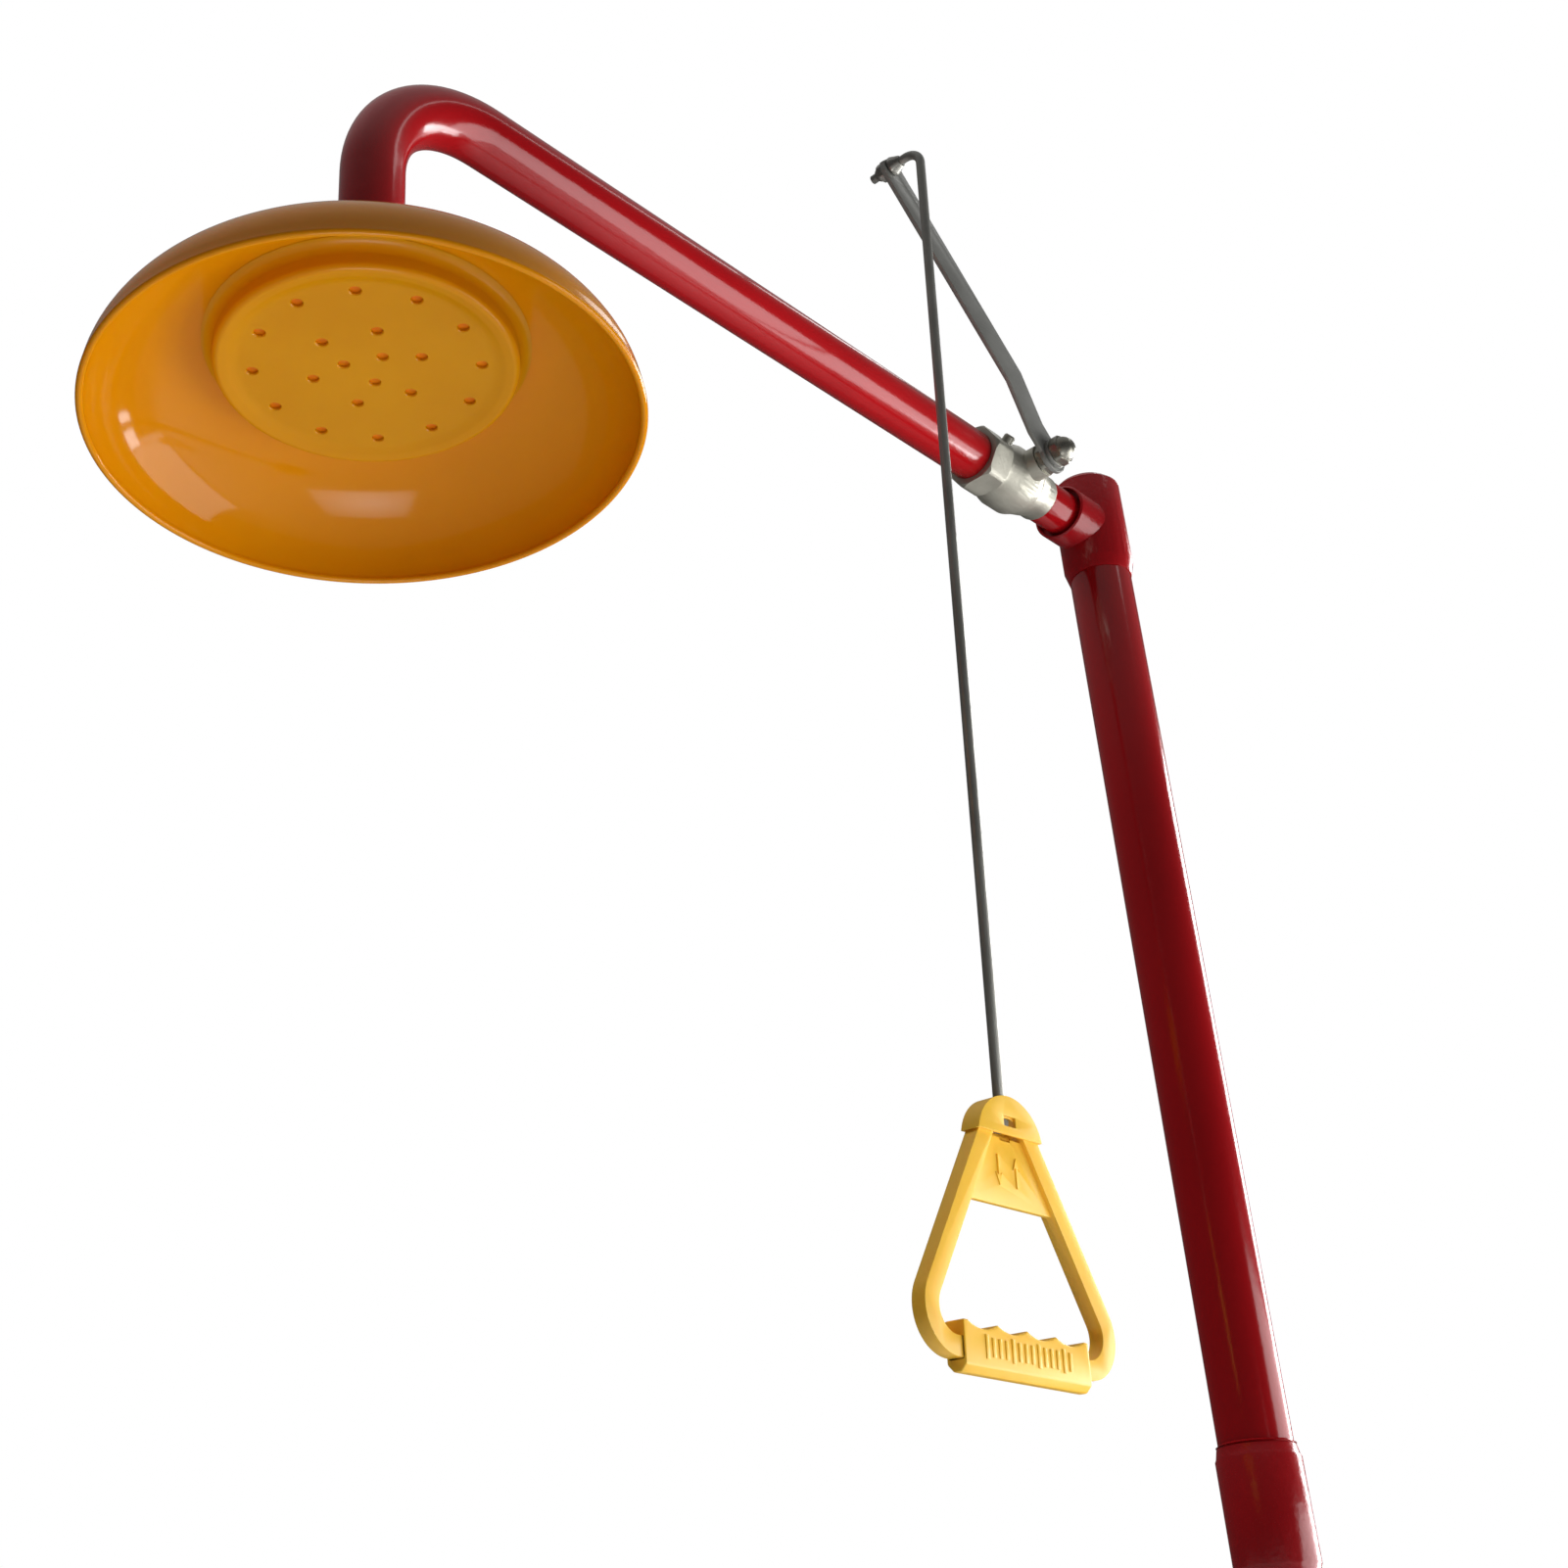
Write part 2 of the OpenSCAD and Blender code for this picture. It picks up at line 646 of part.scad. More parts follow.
// Rounded triangle as wide as the frame's outline drawn in by d
module triangle(d) {
    a = apex_r - d;
    c = corner_r - d;
    side = [cos(slope), sin(slope)];
    translate([0, apex_z]) circle(r=a);
    for (s = [-1, 1])
        translate([s * corner_x, corner_z]) circle(r=c);
    polygon([
        [a * side[0], apex_z + a * side[1]], [corner_x + c * side[0], corner_z + c * side[1]],
        [corner_x, corner_z - c], [-corner_x, corner_z - c],
        [-corner_x - c * side[0], corner_z + c * side[1]], [-a * side[0], apex_z + a * side[1]]
    ]);
}

module slab(t) rotate([90, 0, 0]) linear_extrude(t, center=true) children();

module arrow() {
    polygon([
        [-arrow_line / 2, -arrow_h / 2], [arrow_line / 2, -arrow_h / 2], [arrow_line / 2, arrow_h / 2 - 5],
        [arrow_w / 2, arrow_h / 2 - 6.5], [0, arrow_h / 2], [-arrow_w / 2, arrow_h / 2 - 6.5],
        [-arrow_line / 2, arrow_h / 2 - 5]
    ]);
}

module handle_frame() {
    color(yellow) in_handle() difference() {
        union() {
            slab(frame_t) difference() {
                triangle(0);
                triangle(bar_w);
            }
            slab(web_t) intersection() {
                triangle(bar_w / 2);
                translate([-corner_x, web_base]) square([2 * corner_x, cap_base - 1 - web_base]);
            }
            for (s = [-1, 1])
                translate([s * 7, 0, (cap_base + web_base) / 2]) rotate([0, 90 - s * 90, 0])
                    slab(web_t + 2 * arrow_rise) arrow();
        }
        translate([0, 0, apex_z]) cylinder(r=rod_r + face_gap, h=apex_r + 1);
        translate([0, 0, apex_z]) cylinder(r=stop_r + 0.4, h=apex_r - bar_w);
    }
}

// Arch of the cap drawn in by d, open down to base
module arch(d, base) {
    intersection() {
        translate([0, cap_centre]) circle(r=cap_r - d);
        translate([-cap_r, base]) square([2 * cap_r, 2 * cap_r]);
    }
}

module handle_cap() {
    cap_floor = cap_r - (apex_z + apex_r - cap_centre) - cavity_gap;
    color(yellow) in_handle() difference() {
        slab(shell_t) arch(0, cap_base);
        slab(frame_t + 2 * cavity_gap) arch(cap_floor, cap_base - eps);
        slab(shell_t + 2) translate([-window_w / 2, window_z - window_h / 2]) square([window_w, window_h]);
        translate([0, 0, apex_z]) cylinder(r=rod_r + face_gap, h=cap_r);
    }
}

module grip_outline() {
    difference() {
        translate([-grip_len / 2, grip_base]) square([grip_len, grip_top - grip_base]);
        for (i = [0 : finger_count - 1])
            translate([(i - (finger_count - 1) / 2) * finger_pitch, grip_top + finger_r - finger_depth])
                circle(r=finger_r);
    }
}

module handle_grip() {
    color(yellow) in_handle() difference() {
        slab(shell_t) grip_outline();
        slab(frame_t) difference() {
            triangle(0);
            triangle(bar_w);
        }
        for (s = [-1, 1])
            translate([0, s * shell_t / 2, grip_base]) rotate([45, 0, 0])
                cube([grip_len + 2, grip_chamfer * sqrt(2), grip_chamfer * sqrt(2)], center=true);
    }
}

// ---- Arm and shower head ----

module arm_pipe() {
    color(red) along_arm(arm_start) tube(arm_od / 2, arm_id / 2, reach - elbow_r - arm_start);
}

module arm_elbow() {
    color(red) translate([elbow_r - reach, 0, arm_h - elbow_r]) rotate([90, 0, 0]) rotate([0, 0, 90])
        rotate_extrude(angle=90) translate([elbow_r, 0]) difference() {
            circle(d=arm_od);
            circle(d=arm_id);
        }
}

module drop_pipe() {
    color(red) translate([-reach, 0, drop_end])
        tube(arm_od / 2, arm_id / 2, arm_h - elbow_r - drop_end);
}

module head_nut() {
    color(plated) translate([-reach, 0, bowl_top_z - bowl_wall - gasket_t - head_nut_h]) difference() {
        intersection() {
            hexagon(head_nut_af, head_nut_h);
            chamfered(head_nut_af / 2 + 2.6, head_nut_h, 1.5);
        }
        translate([0, 0, -eps]) cylinder(r=arm_od / 2 + thread_gap, h=head_nut_h + 2 * eps);
    }
}

module head_locknut() {
    color(red) translate([-reach, 0, bowl_top_z]) difference() {
        intersection() {
            hexagon(locknut_af, locknut_h);
            chamfered(locknut_af / 2 + 2.4, locknut_h, 1.2);
        }
        translate([0, 0, -eps]) cylinder(r=arm_od / 2 + thread_gap, h=locknut_h + 2 * eps);
    }
}

module head_gasket() {
    color(black) translate([-reach, 0, bowl_top_z - bowl_wall - gasket_t])
        tube(head_nut_af / 2, arm_od / 2 + thread_gap, gasket_t);
}

module head_bowl() {
    outer = ellipse_arc(crown_r, bowl_shoulder, bowl_depth, shoulder_steps);
    inner = ellipse_arc(crown_r, bowl_shoulder - bowl_wall, bowl_depth - bowl_wall, shoulder_steps);
    bore = arm_od / 2 + thread_gap;
    color(amber) translate([-reach, 0, rim_z]) rotate_extrude() union() {
        polygon(concat(
            outer, [[bore, bowl_depth], [bore, bowl_depth - bowl_wall]],
            [for (i = [0 : shoulder_steps]) inner[shoulder_steps - i]]
        ));
        translate([bowl_r - bowl_wall / 2, bowl_wall / 2]) circle(r=bowl_wall / 2 + 0.3);
    }
}

module spray_plate() {
    color(amber) translate([-reach, 0, plate_face_z]) difference() {
        rotate_extrude() polygon([
            [0, plate_dish], [plate_r - plate_edge - plate_slope, plate_dish], [plate_r - plate_edge, 0],
            [plate_r - 2, 0], [plate_r, 2], [plate_r, skirt_h],
            [plate_r - skirt_wall, skirt_h], [plate_r - skirt_wall, plate_t + plate_dish],
            [0, plate_t + plate_dish]
        ]);
        for (k = [0 : len(ring_radii) - 1])
            for (i = [0 : ring_counts[k] - 1])
                rotate([0, 0, ring_turns[k] + 360 * i / ring_counts[k]]) translate([ring_radii[k], 0, 0])
                    cylinder(d=spray_hole_d, h=plate_dish + plate_t + eps);
    }
}

module plate_seal() {
    color(black) translate([-reach, 0, plate_face_z + skirt_h])
        tube(plate_r - 0.4, plate_r - skirt_wall, seal_h);
}

floor_flange();
lower_riser();
inlet_tee();
lower_column();
column_coupling();
upper_column();
top_tee();
tee_cap();
valve_nipple();
valve_body();
valve_tail();
body_seal();
ball_seats();
stem_packing();
gland_nut();
arm_pipe();
arm_elbow();
drop_pipe();
head_locknut();
head_nut();
head_gasket();
head_bowl();
spray_plate();
plate_seal();
valve_ball();
valve_stem();
valve_lever();
lever_washer();
lever_nut();
pull_rod();
rod_nut();
rod_washer();
rod_collar();
rod_stop();
handle_frame();
handle_cap();
handle_grip();
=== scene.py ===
"""Floor-standing emergency drench shower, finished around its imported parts.

Every sub-assembly is a class that holds its sizes in metres, models its pieces and dresses them.
"""

import json
import logging
import math
from dataclasses import dataclass, field
from enum import Enum

import bpy
from mathutils import Matrix, Vector

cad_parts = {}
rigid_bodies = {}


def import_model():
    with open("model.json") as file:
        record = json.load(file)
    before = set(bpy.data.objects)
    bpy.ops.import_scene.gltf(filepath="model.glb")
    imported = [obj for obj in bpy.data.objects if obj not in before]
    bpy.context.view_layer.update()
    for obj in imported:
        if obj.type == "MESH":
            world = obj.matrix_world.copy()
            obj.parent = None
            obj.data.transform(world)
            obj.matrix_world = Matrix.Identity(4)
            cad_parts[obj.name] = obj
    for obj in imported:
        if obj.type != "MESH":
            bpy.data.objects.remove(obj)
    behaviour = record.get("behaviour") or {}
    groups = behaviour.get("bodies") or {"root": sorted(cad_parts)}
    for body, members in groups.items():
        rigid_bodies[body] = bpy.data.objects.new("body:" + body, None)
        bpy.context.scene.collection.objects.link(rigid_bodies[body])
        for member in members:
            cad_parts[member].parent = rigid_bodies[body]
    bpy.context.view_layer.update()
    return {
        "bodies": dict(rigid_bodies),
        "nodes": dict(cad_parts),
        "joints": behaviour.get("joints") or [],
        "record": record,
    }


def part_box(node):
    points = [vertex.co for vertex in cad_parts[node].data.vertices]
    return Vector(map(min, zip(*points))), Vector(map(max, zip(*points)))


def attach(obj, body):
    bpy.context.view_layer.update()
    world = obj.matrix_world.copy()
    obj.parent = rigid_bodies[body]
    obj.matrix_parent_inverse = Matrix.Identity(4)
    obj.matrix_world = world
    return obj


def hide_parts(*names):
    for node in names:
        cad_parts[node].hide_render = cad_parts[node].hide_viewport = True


LOG = logging.getLogger("drench_shower")

# Distances in metres and angles in degrees that the bench works to.
MERGE_GAP = 0.000002
SAME_RADIUS = 1e-9
FLAT_ANGLE = 0.2
SMOOTH_ANGLE = 35.0
CAST_ANGLE = 28.0
TURNED_ANGLE = 40.0
SQUARE_ANGLE = 50.0

# How the finishes use their noise, and how deep light goes into a moulding, in metres.
NOISE_RANGE = (0.3, 0.7)
TONE_STOPS = (0.32, 0.68)
SKIN_DEPTH = 0.012

Colour = tuple[float, float, float]
Point = tuple[float, float, float]
Profile = list[tuple[float, float]]
Socket = bpy.types.NodeSocket


class Body(Enum):
    """The moving bodies that a piece can ride on."""

    STAND = "stand"
    LEVER = "lever"
    ROD = "rod"
    HANDLE = "handle"


class Slot(Enum):
    """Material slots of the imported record."""

    RED = "red_paint"
    PLATING = "valve_plating"
    SEAL = "white_seal"
    RUBBER = "black_rubber"
    BOWL = "bowl_plastic"
    STEEL = "stainless"
    HANDLE = "handle_plastic"


# ---- Finishes ----


class NodeBoard:
    """A material's node tree with short calls for the nodes that the finishes share."""

    def __init__(self, name: str) -> None:
        """Starts a material with an empty board.

        Args:
            name: the material's name.
        """
        self.material = bpy.data.materials.new(name)
        self.material.use_nodes = True
        self.tree = self.material.node_tree
        self.tree.nodes.clear()
        self.shader = self.tree.nodes.new("ShaderNodeBsdfPrincipled")
        output = self.tree.nodes.new("ShaderNodeOutputMaterial")
        self.link(self.shader.outputs["BSDF"], output.inputs["Surface"])
        self.place = self.tree.nodes.new("ShaderNodeTexCoord").outputs["Object"]

    def link(self, source: Socket, target: Socket) -> None:
        """Joins two sockets.

        Args:
            source: the output socket.
            target: the input socket.
        """
        self.tree.links.new(source, target)

    def noise(
        self, scale: float, detail: float, stretch: Point = (1, 1, 1), turn: Point = (0, 0, 0)
    ) -> Socket:
        """Adds a noise pattern in the object's own coordinates.

        Args:
            scale: the pattern's repeats per metre.
            detail: the octaves of finer pattern.
            stretch: the scale along each axis, for a grain.
            turn: the grain's turn in radians.

        Returns:
            The noise's value socket.
        """
        mapping = self.tree.nodes.new("ShaderNodeMapping")
        mapping.inputs["Scale"].default_value = stretch
        mapping.inputs["Rotation"].default_value = turn
        texture = self.tree.nodes.new("ShaderNodeTexNoise")
        texture.inputs["Scale"].default_value = scale
        texture.inputs["Detail"].default_value = detail
        self.link(self.place, mapping.inputs["Vector"])
        self.link(mapping.outputs["Vector"], texture.inputs["Vector"])
        return texture.outputs["Fac"]

    def ramp(self, value: Socket, stops: list[tuple[float, Colour]]) -> Socket:
        """Colours a value.

        Args:
            value: the driving value.
            stops: places and colours of the ramp's stops.

        Returns:
            The colour socket.
        """
        node = self.tree.nodes.new("ShaderNodeValToRGB")
        while len(node.color_ramp.elements) < len(stops):
            node.color_ramp.elements.new(0.5)
        for element, (place, colour) in zip(node.color_ramp.elements, stops):
            element.position = place
            element.color = (*colour, 1.0)
        self.link(value, node.inputs["Fac"])
        return node.outputs["Color"]

    def span(self, value: Socket, low: float, high: float) -> Socket:
        """Maps a noise value to a range.

        Args:
            value: a value around one half.
            low: the result at the noise range's low end.
            high: the result at its high end.

        Returns:
            The mapped value.
        """
        node = self.tree.nodes.new("ShaderNodeMapRange")
        node.inputs["From Min"].default_value, node.inputs["From Max"].default_value = NOISE_RANGE
        node.inputs["To Min"].default_value = low
        node.inputs["To Max"].default_value = high
        self.link(value, node.inputs["Value"])
        return node.outputs["Result"]

    def bump(self, value: Socket, strength: float, depth: float, below: Socket | None = None) -> Socket:
        """Raises the surface by a value.

        Args:
            value: the height pattern.
            strength: how much of it shows, from 0 to 1.
            depth: the height in metres.
            below: the normal of a coarser bump, if any.

        Returns:
            The normal socket.
        """
        node = self.tree.nodes.new("ShaderNodeBump")
        node.inputs["Strength"].default_value = strength
        node.inputs["Distance"].default_value = depth
        self.link(value, node.inputs["Height"])
        if below is not None:
            self.link(below, node.inputs["Normal"])
        return node.outputs["Normal"]


@dataclass(frozen=True)
class Finish:
    """A surface finish: two tones, a grain, and how it shines."""

    name: str
    tone: Colour
    low_tone: Colour
    tone_scale: float = 9.0
    tone_detail: float = 5.0
    gloss: tuple[float, float] = (0.2, 0.3)
    metallic: float = 0.0
    specular: float = 0.5
    coarse_scale: float = 60.0
    coarse_depth: float = 0.0002
    coarse_detail: float = 2.0
    coarse_share: float = 0.6
    fine_scale: float = 900.0
    fine_depth: float = 0.000005
    fine_detail: float = 3.0
    fine_share: float = 0.5
    stretch: Point = (1.0, 1.0, 1.0)
    turn: Point = (0.0, 0.0, 0.0)
    glow: float = 0.0
    glow_radius: Colour = (1.0, 0.4, 0.1)

    def build(self) -> bpy.types.Material:
        """Makes the material.

        Returns:
            The finished material.
        """
        board = NodeBoard(self.name)
        shader = board.shader
        cloud = board.noise(self.tone_scale, self.tone_detail)
        grain = board.noise(self.fine_scale, self.fine_detail, self.stretch, self.turn)
        coarse = board.noise(self.coarse_scale, self.coarse_detail)
        stops = list(zip(TONE_STOPS, (self.low_tone, self.tone)))
        board.link(board.ramp(cloud, stops), shader.inputs["Base Color"])
        board.link(board.span(grain, *self.gloss), shader.inputs["Roughness"])
        normal = board.bump(coarse, self.coarse_share, self.coarse_depth)
        board.link(board.bump(grain, self.fine_share, self.fine_depth, normal), shader.inputs["Normal"])
        shader.inputs["Metallic"].default_value = self.metallic
        shader.inputs["Specular IOR Level"].default_value = self.specular
        if self.glow > 0:
            shader.inputs["Subsurface Weight"].default_value = self.glow
            shader.inputs["Subsurface Radius"].default_value = self.glow_radius
            shader.inputs["Subsurface Scale"].default_value = SKIN_DEPTH
        return board.material


RED_ENAMEL = Finish(
    "red_enamel", tone=(0.44, 0.0045, 0.008), low_tone=(0.36, 0.003, 0.006), tone_scale=5.0,
    gloss=(0.12, 0.20), coarse_scale=110.0, coarse_depth=0.00016, fine_scale=1500.0, fine_depth=0.0000017,
)
CAST_ENAMEL = Finish(
    "cast_red_enamel", tone=(0.43, 0.006, 0.010), low_tone=(0.34, 0.004, 0.008), tone_scale=14.0,
    gloss=(0.16, 0.28), coarse_scale=240.0, coarse_depth=0.0004, fine_scale=1800.0, fine_depth=0.0000033,
)
NICKEL = Finish(
    "satin_nickel", tone=(0.50, 0.485, 0.415), low_tone=(0.32, 0.31, 0.26), tone_scale=38.0,
    gloss=(0.36, 0.52), metallic=0.60, coarse_scale=420.0, coarse_depth=0.00025,
    fine_scale=2600.0, fine_depth=0.0000033,
)
BRIGHT_NICKEL = Finish(
    "bright_nickel", tone=(0.40, 0.39, 0.34), low_tone=(0.24, 0.23, 0.19), tone_scale=60.0,
    gloss=(0.24, 0.38), metallic=0.85, coarse_scale=300.0, coarse_depth=0.00003,
    fine_scale=2400.0, fine_depth=0.0000017,
)
LEVER_STEEL = Finish(
    "brushed_lever_steel", tone=(0.30, 0.30, 0.28), low_tone=(0.22, 0.22, 0.205), tone_scale=26.0,
    gloss=(0.34, 0.55), metallic=0.55, coarse_scale=120.0, coarse_depth=0.00006,
    fine_scale=90.0, fine_depth=0.0000083, stretch=(0.35, 14.0, 14.0), turn=(0.0, math.radians(45.8), 0.0),
)
FASTENER_STEEL = Finish(
    "rolled_fastener_steel", tone=(0.42, 0.415, 0.38), low_tone=(0.28, 0.275, 0.25), tone_scale=80.0,
    gloss=(0.24, 0.38), metallic=0.8, coarse_scale=300.0, coarse_depth=0.00003,
    fine_scale=2400.0, fine_depth=0.000001,
)
ROD_STEEL = Finish(
    "brushed_rod_steel", tone=(0.34, 0.34, 0.315), low_tone=(0.24, 0.24, 0.22), tone_scale=20.0,
    gloss=(0.32, 0.50), metallic=0.6, coarse_scale=90.0, coarse_depth=0.00004,
    fine_scale=120.0, fine_depth=0.000005, stretch=(12.0, 12.0, 0.25),
)
AMBER = Finish(
    "gloss_amber_moulding", tone=(0.66, 0.250, 0.0011), low_tone=(0.61, 0.222, 0.001), tone_scale=7.0,
    gloss=(0.07, 0.12), specular=0.22, coarse_scale=28.0, coarse_depth=0.00025,
    fine_scale=1300.0, fine_depth=0.000001, glow=0.15, glow_radius=(1.0, 0.30, 0.03),
)
# The bowl's amber made yellower: painted light for the plate face, which is lit strongly from below; the
# satin gloss is the plate's own.
PAINTED_LIGHT_AMBER_PLATE = Finish(
    "satin_amber_plate_painted_light", tone=(0.64, 0.266, 0.0015), low_tone=(0.60, 0.240, 0.001), tone_scale=16.0,
    gloss=(0.16, 0.24), specular=0.18, coarse_scale=40.0, coarse_depth=0.0001,
    fine_scale=1600.0, fine_depth=0.0000017, glow=0.15, glow_radius=(1.0, 0.30, 0.03),
)
# Deeper red-orange than the bowl's amber: painted shade for the disc that shows through the spray holes.
PAINTED_SHADE_AMBER = Finish(
    "painted_shade_amber_disc", tone=(0.85, 0.200, 0.002), low_tone=(0.78, 0.160, 0.001), tone_scale=16.0,
    gloss=(0.30, 0.40), specular=0.2, fine_scale=1600.0, fine_depth=0.0000017, glow=0.3,
    glow_radius=(1.0, 0.25, 0.02),
)
YELLOW = Finish(
    "satin_yellow_moulding", tone=(0.97, 0.575, 0.055), low_tone=(0.94, 0.510, 0.035), tone_scale=22.0,
    gloss=(0.28, 0.40), specular=0.6, coarse_scale=160.0, coarse_depth=0.0001, fine_scale=1200.0,
    fine_depth=0.000005, glow=0.10, glow_radius=(1.0, 0.5, 0.08),
)
SEAL_WHITE = Finish(
    "machined_white_seal", tone=(0.84, 0.84, 0.81), low_tone=(0.76, 0.76, 0.73), tone_scale=50.0,
    gloss=(0.40, 0.55), fine_scale=2200.0,
)
BLACK_RUBBER = Finish(
    "moulded_black_rubber", tone=(0.030, 0.030, 0.031), low_tone=(0.018, 0.018, 0.019), tone_scale=60.0,
    gloss=(0.55, 0.75), fine_scale=2600.0, fine_depth=0.0000083,
)
STUDIO_FLOOR = Finish(
    "studio_floor", tone=(0.84, 0.84, 0.84), low_tone=(0.81, 0.81, 0.81), tone_scale=0.7,
    gloss=(0.60, 0.75), coarse_scale=3.0, coarse_depth=0.0001, fine_scale=60.0,
)


class Wardrobe:
    """Builds each finish once and dresses objects with it."""

    def __init__(self) -> None:
        """Starts with no material built."""
        self.made: dict[str, bpy.types.Material] = {}

    def dress(self, piece: bpy.types.Object, finish: Finish) -> None:
        """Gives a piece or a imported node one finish.

        Args:
            piece: the object to dress.
            finish: its finish.
        """
        if finish.name not in self.made:
            self.made[finish.name] = finish.build()
        material = self.made[finish.name]
        if not piece.material_slots:
            piece.data.materials.append(material)
        for slot in piece.material_slots:
            slot.material = material


# ---- Bench: modelling moves shared by every sub-assembly ----


def put_down() -> None:
    """Leaves edit mode and deselects everything."""
    if bpy.context.object and bpy.context.object.mode != "OBJECT":
        bpy.ops.object.mode_set(mode="OBJECT")
    bpy.ops.object.select_all(action="DESELECT")


def pick_up(piece: bpy.types.Object) -> None:
    """Selects one piece alone and makes it active.

    Args:
        piece: the piece to work on.
    """
    put_down()
    piece.select_set(True)
    bpy.context.view_layer.objects.active = piece


def edit_all() -> None:
    """Enters edit mode with the whole mesh selected."""
    bpy.ops.object.mode_set(mode="EDIT")
    bpy.ops.mesh.select_mode(type="VERT")
    bpy.ops.mesh.select_all(action="SELECT")


def settle(piece: bpy.types.Object, smooth_below: float = SMOOTH_ANGLE) -> None:
    """Applies the piece's place and shades it smooth up to an angle.

    Args:
        piece: the piece to settle.
        smooth_below: the largest angle between faces that is shaded smooth, in degrees.
    """
    pick_up(piece)
    bpy.ops.object.transform_apply(location=True, rotation=True, scale=True)
    bpy.ops.object.shade_smooth_by_angle(angle=math.radians(smooth_below))


def modify(piece: bpy.types.Object, kind: str, **settings: object) -> None:
    """Adds one modifier and applies it.

    Args:
        piece: the piece to change.
        kind: the modifier's type.
        settings: its settings.
    """
    pick_up(piece)
    modifier = piece.modifiers.new(kind.lower(), kind)
    for name, value in settings.items():
        setattr(modifier, name, value)
    bpy.ops.object.modifier_apply(modifier=modifier.name)


def bevel(piece: bpy.types.Object, width: float, corner: float = SQUARE_ANGLE) -> None:
    """Breaks a piece's sharp edges.

    Args:
        piece: the piece.
        width: the bevel's width.
        corner: the smallest angle between faces that counts as an edge, in degrees.
    """
    modify(piece, "BEVEL", width=width, segments=2, limit_method="ANGLE", angle_limit=math.radians(corner))


def joined(pieces: list[bpy.types.Object]) -> bpy.types.Object:
    """Joins pieces into the first one.

    Args:
        pieces: the pieces.

    Returns:
        The one piece that is left.
    """
    put_down()
    for piece in pieces:
        piece.select_set(True)
    bpy.context.view_layer.objects.active = pieces[0]
    bpy.ops.object.join()
    return bpy.context.object


def clean(piece: bpy.types.Object, gap: float = MERGE_GAP) -> None:
    """Merges doubles and turns the faces outwards.

    Args:
        piece: the piece to clean.
        gap: the merging distance.
    """
    pick_up(piece)
    edit_all()
    bpy.ops.mesh.remove_doubles(threshold=gap)
    bpy.ops.mesh.normals_make_consistent(inside=False)
    bpy.ops.object.mode_set(mode="OBJECT")


def turned(
    name: str, profile: Profile, place: Matrix, segments: int = 96, smooth_below: float = SMOOTH_ANGLE
) -> bpy.types.Object:
    """Turns a closed profile about local Z by extruding and scaling one ring along it.

    Args:
        name: the piece's name.
        profile: radius and height of each corner, in metres, ending where it starts.
        place: where the local frame stands.
        segments: the ring's vertices.
        smooth_below: the largest angle that is shaded smooth, in degrees.

    Returns:
        The turned piece.
    """
    put_down()
    bpy.ops.mesh.primitive_circle_add(vertices=segments, radius=profile[0][0], location=(0, 0, profile[0][1]))
    piece = bpy.context.object
    piece.name = name
    edit_all()
    for (radius, height), (next_radius, next_height) in zip(profile, profile[1:]):
        bpy.ops.mesh.extrude_region_move(TRANSFORM_OT_translate={"value": (0, 0, next_height - height)})
        if abs(next_radius - radius) > SAME_RADIUS:
            ratio = next_radius / radius
            bpy.ops.transform.resize(value=(ratio, ratio, 1), center_override=(0, 0, next_height))
    bpy.ops.object.mode_set(mode="OBJECT")
    pick_up(piece)
    bpy.ops.object.transform_apply(location=True, rotation=True, scale=True)
    clean(piece)
    piece.matrix_world = place
    settle(piece, smooth_below)
    return piece


def softened(
    node: bpy.types.Object, name: str, width: float, segments: int = 3, corner: float = CAST_ANGLE
) -> bpy.types.Object:
    """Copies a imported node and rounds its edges, as a casting or a moulding has them.

    Args:
        node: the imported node.
        name: the new piece's name.
        width: the rounding's width in metres.
        segments: the rounding's steps.
        corner: the smallest angle between faces that counts as an edge, in degrees.

    Returns:
        The rounded copy.
    """
    put_down()
    piece = bpy.data.objects.new(name, node.data.copy())
    bpy.context.scene.collection.objects.link(piece)
    pick_up(piece)
    edit_all()
    bpy.ops.mesh.remove_doubles(threshold=MERGE_GAP)
    bpy.ops.mesh.dissolve_limited(angle_limit=math.radians(FLAT_ANGLE))
    bpy.ops.object.mode_set(mode="OBJECT")
    modify(piece, "BEVEL", width=width, segments=segments, limit_method="ANGLE",
           angle_limit=math.radians(corner), use_clamp_overlap=True, miter_outer="MITER_ARC")
    settle(piece, corner)
    return piece


def swept(name: str, radius: float, start: Point, legs: list[tuple], segments: int = 48) -> bpy.types.Object:
    """Draws a round bar along straight legs and bends.

    Args:
        name: the piece's name.
        radius: the bar's radius.
        start: the middle of its first end.
        legs: ("run", vector) for a straight leg, or ("bend", centre, axis, angle, steps) for a bend;
            the first leg is straight and sets the end ring's plane.
        segments: the ring's vertices.

    Returns:
        The open skin of the bar, with its faces outwards.
    """
    put_down()
    first = Vector(legs[0][1]).normalized()
    turn = first.to_track_quat("Z", "Y").to_euler()
    bpy.ops.mesh.primitive_circle_add(vertices=segments, radius=radius, location=start, rotation=turn)
    piece = bpy.context.object
    piece.name = name
    bpy.ops.object.transform_apply(location=True, rotation=True, scale=True)
    edit_all()
    for leg in legs:
        if leg[0] == "run":
            bpy.ops.mesh.extrude_region_move(TRANSFORM_OT_translate={"value": leg[1]})
        else:
            _, centre, axis, angle, steps = leg
            bpy.ops.mesh.spin(steps=steps, dupli=False, angle=angle, center=centre, axis=axis)
    bpy.ops.object.mode_set(mode="OBJECT")
    clean(piece)
    return piece


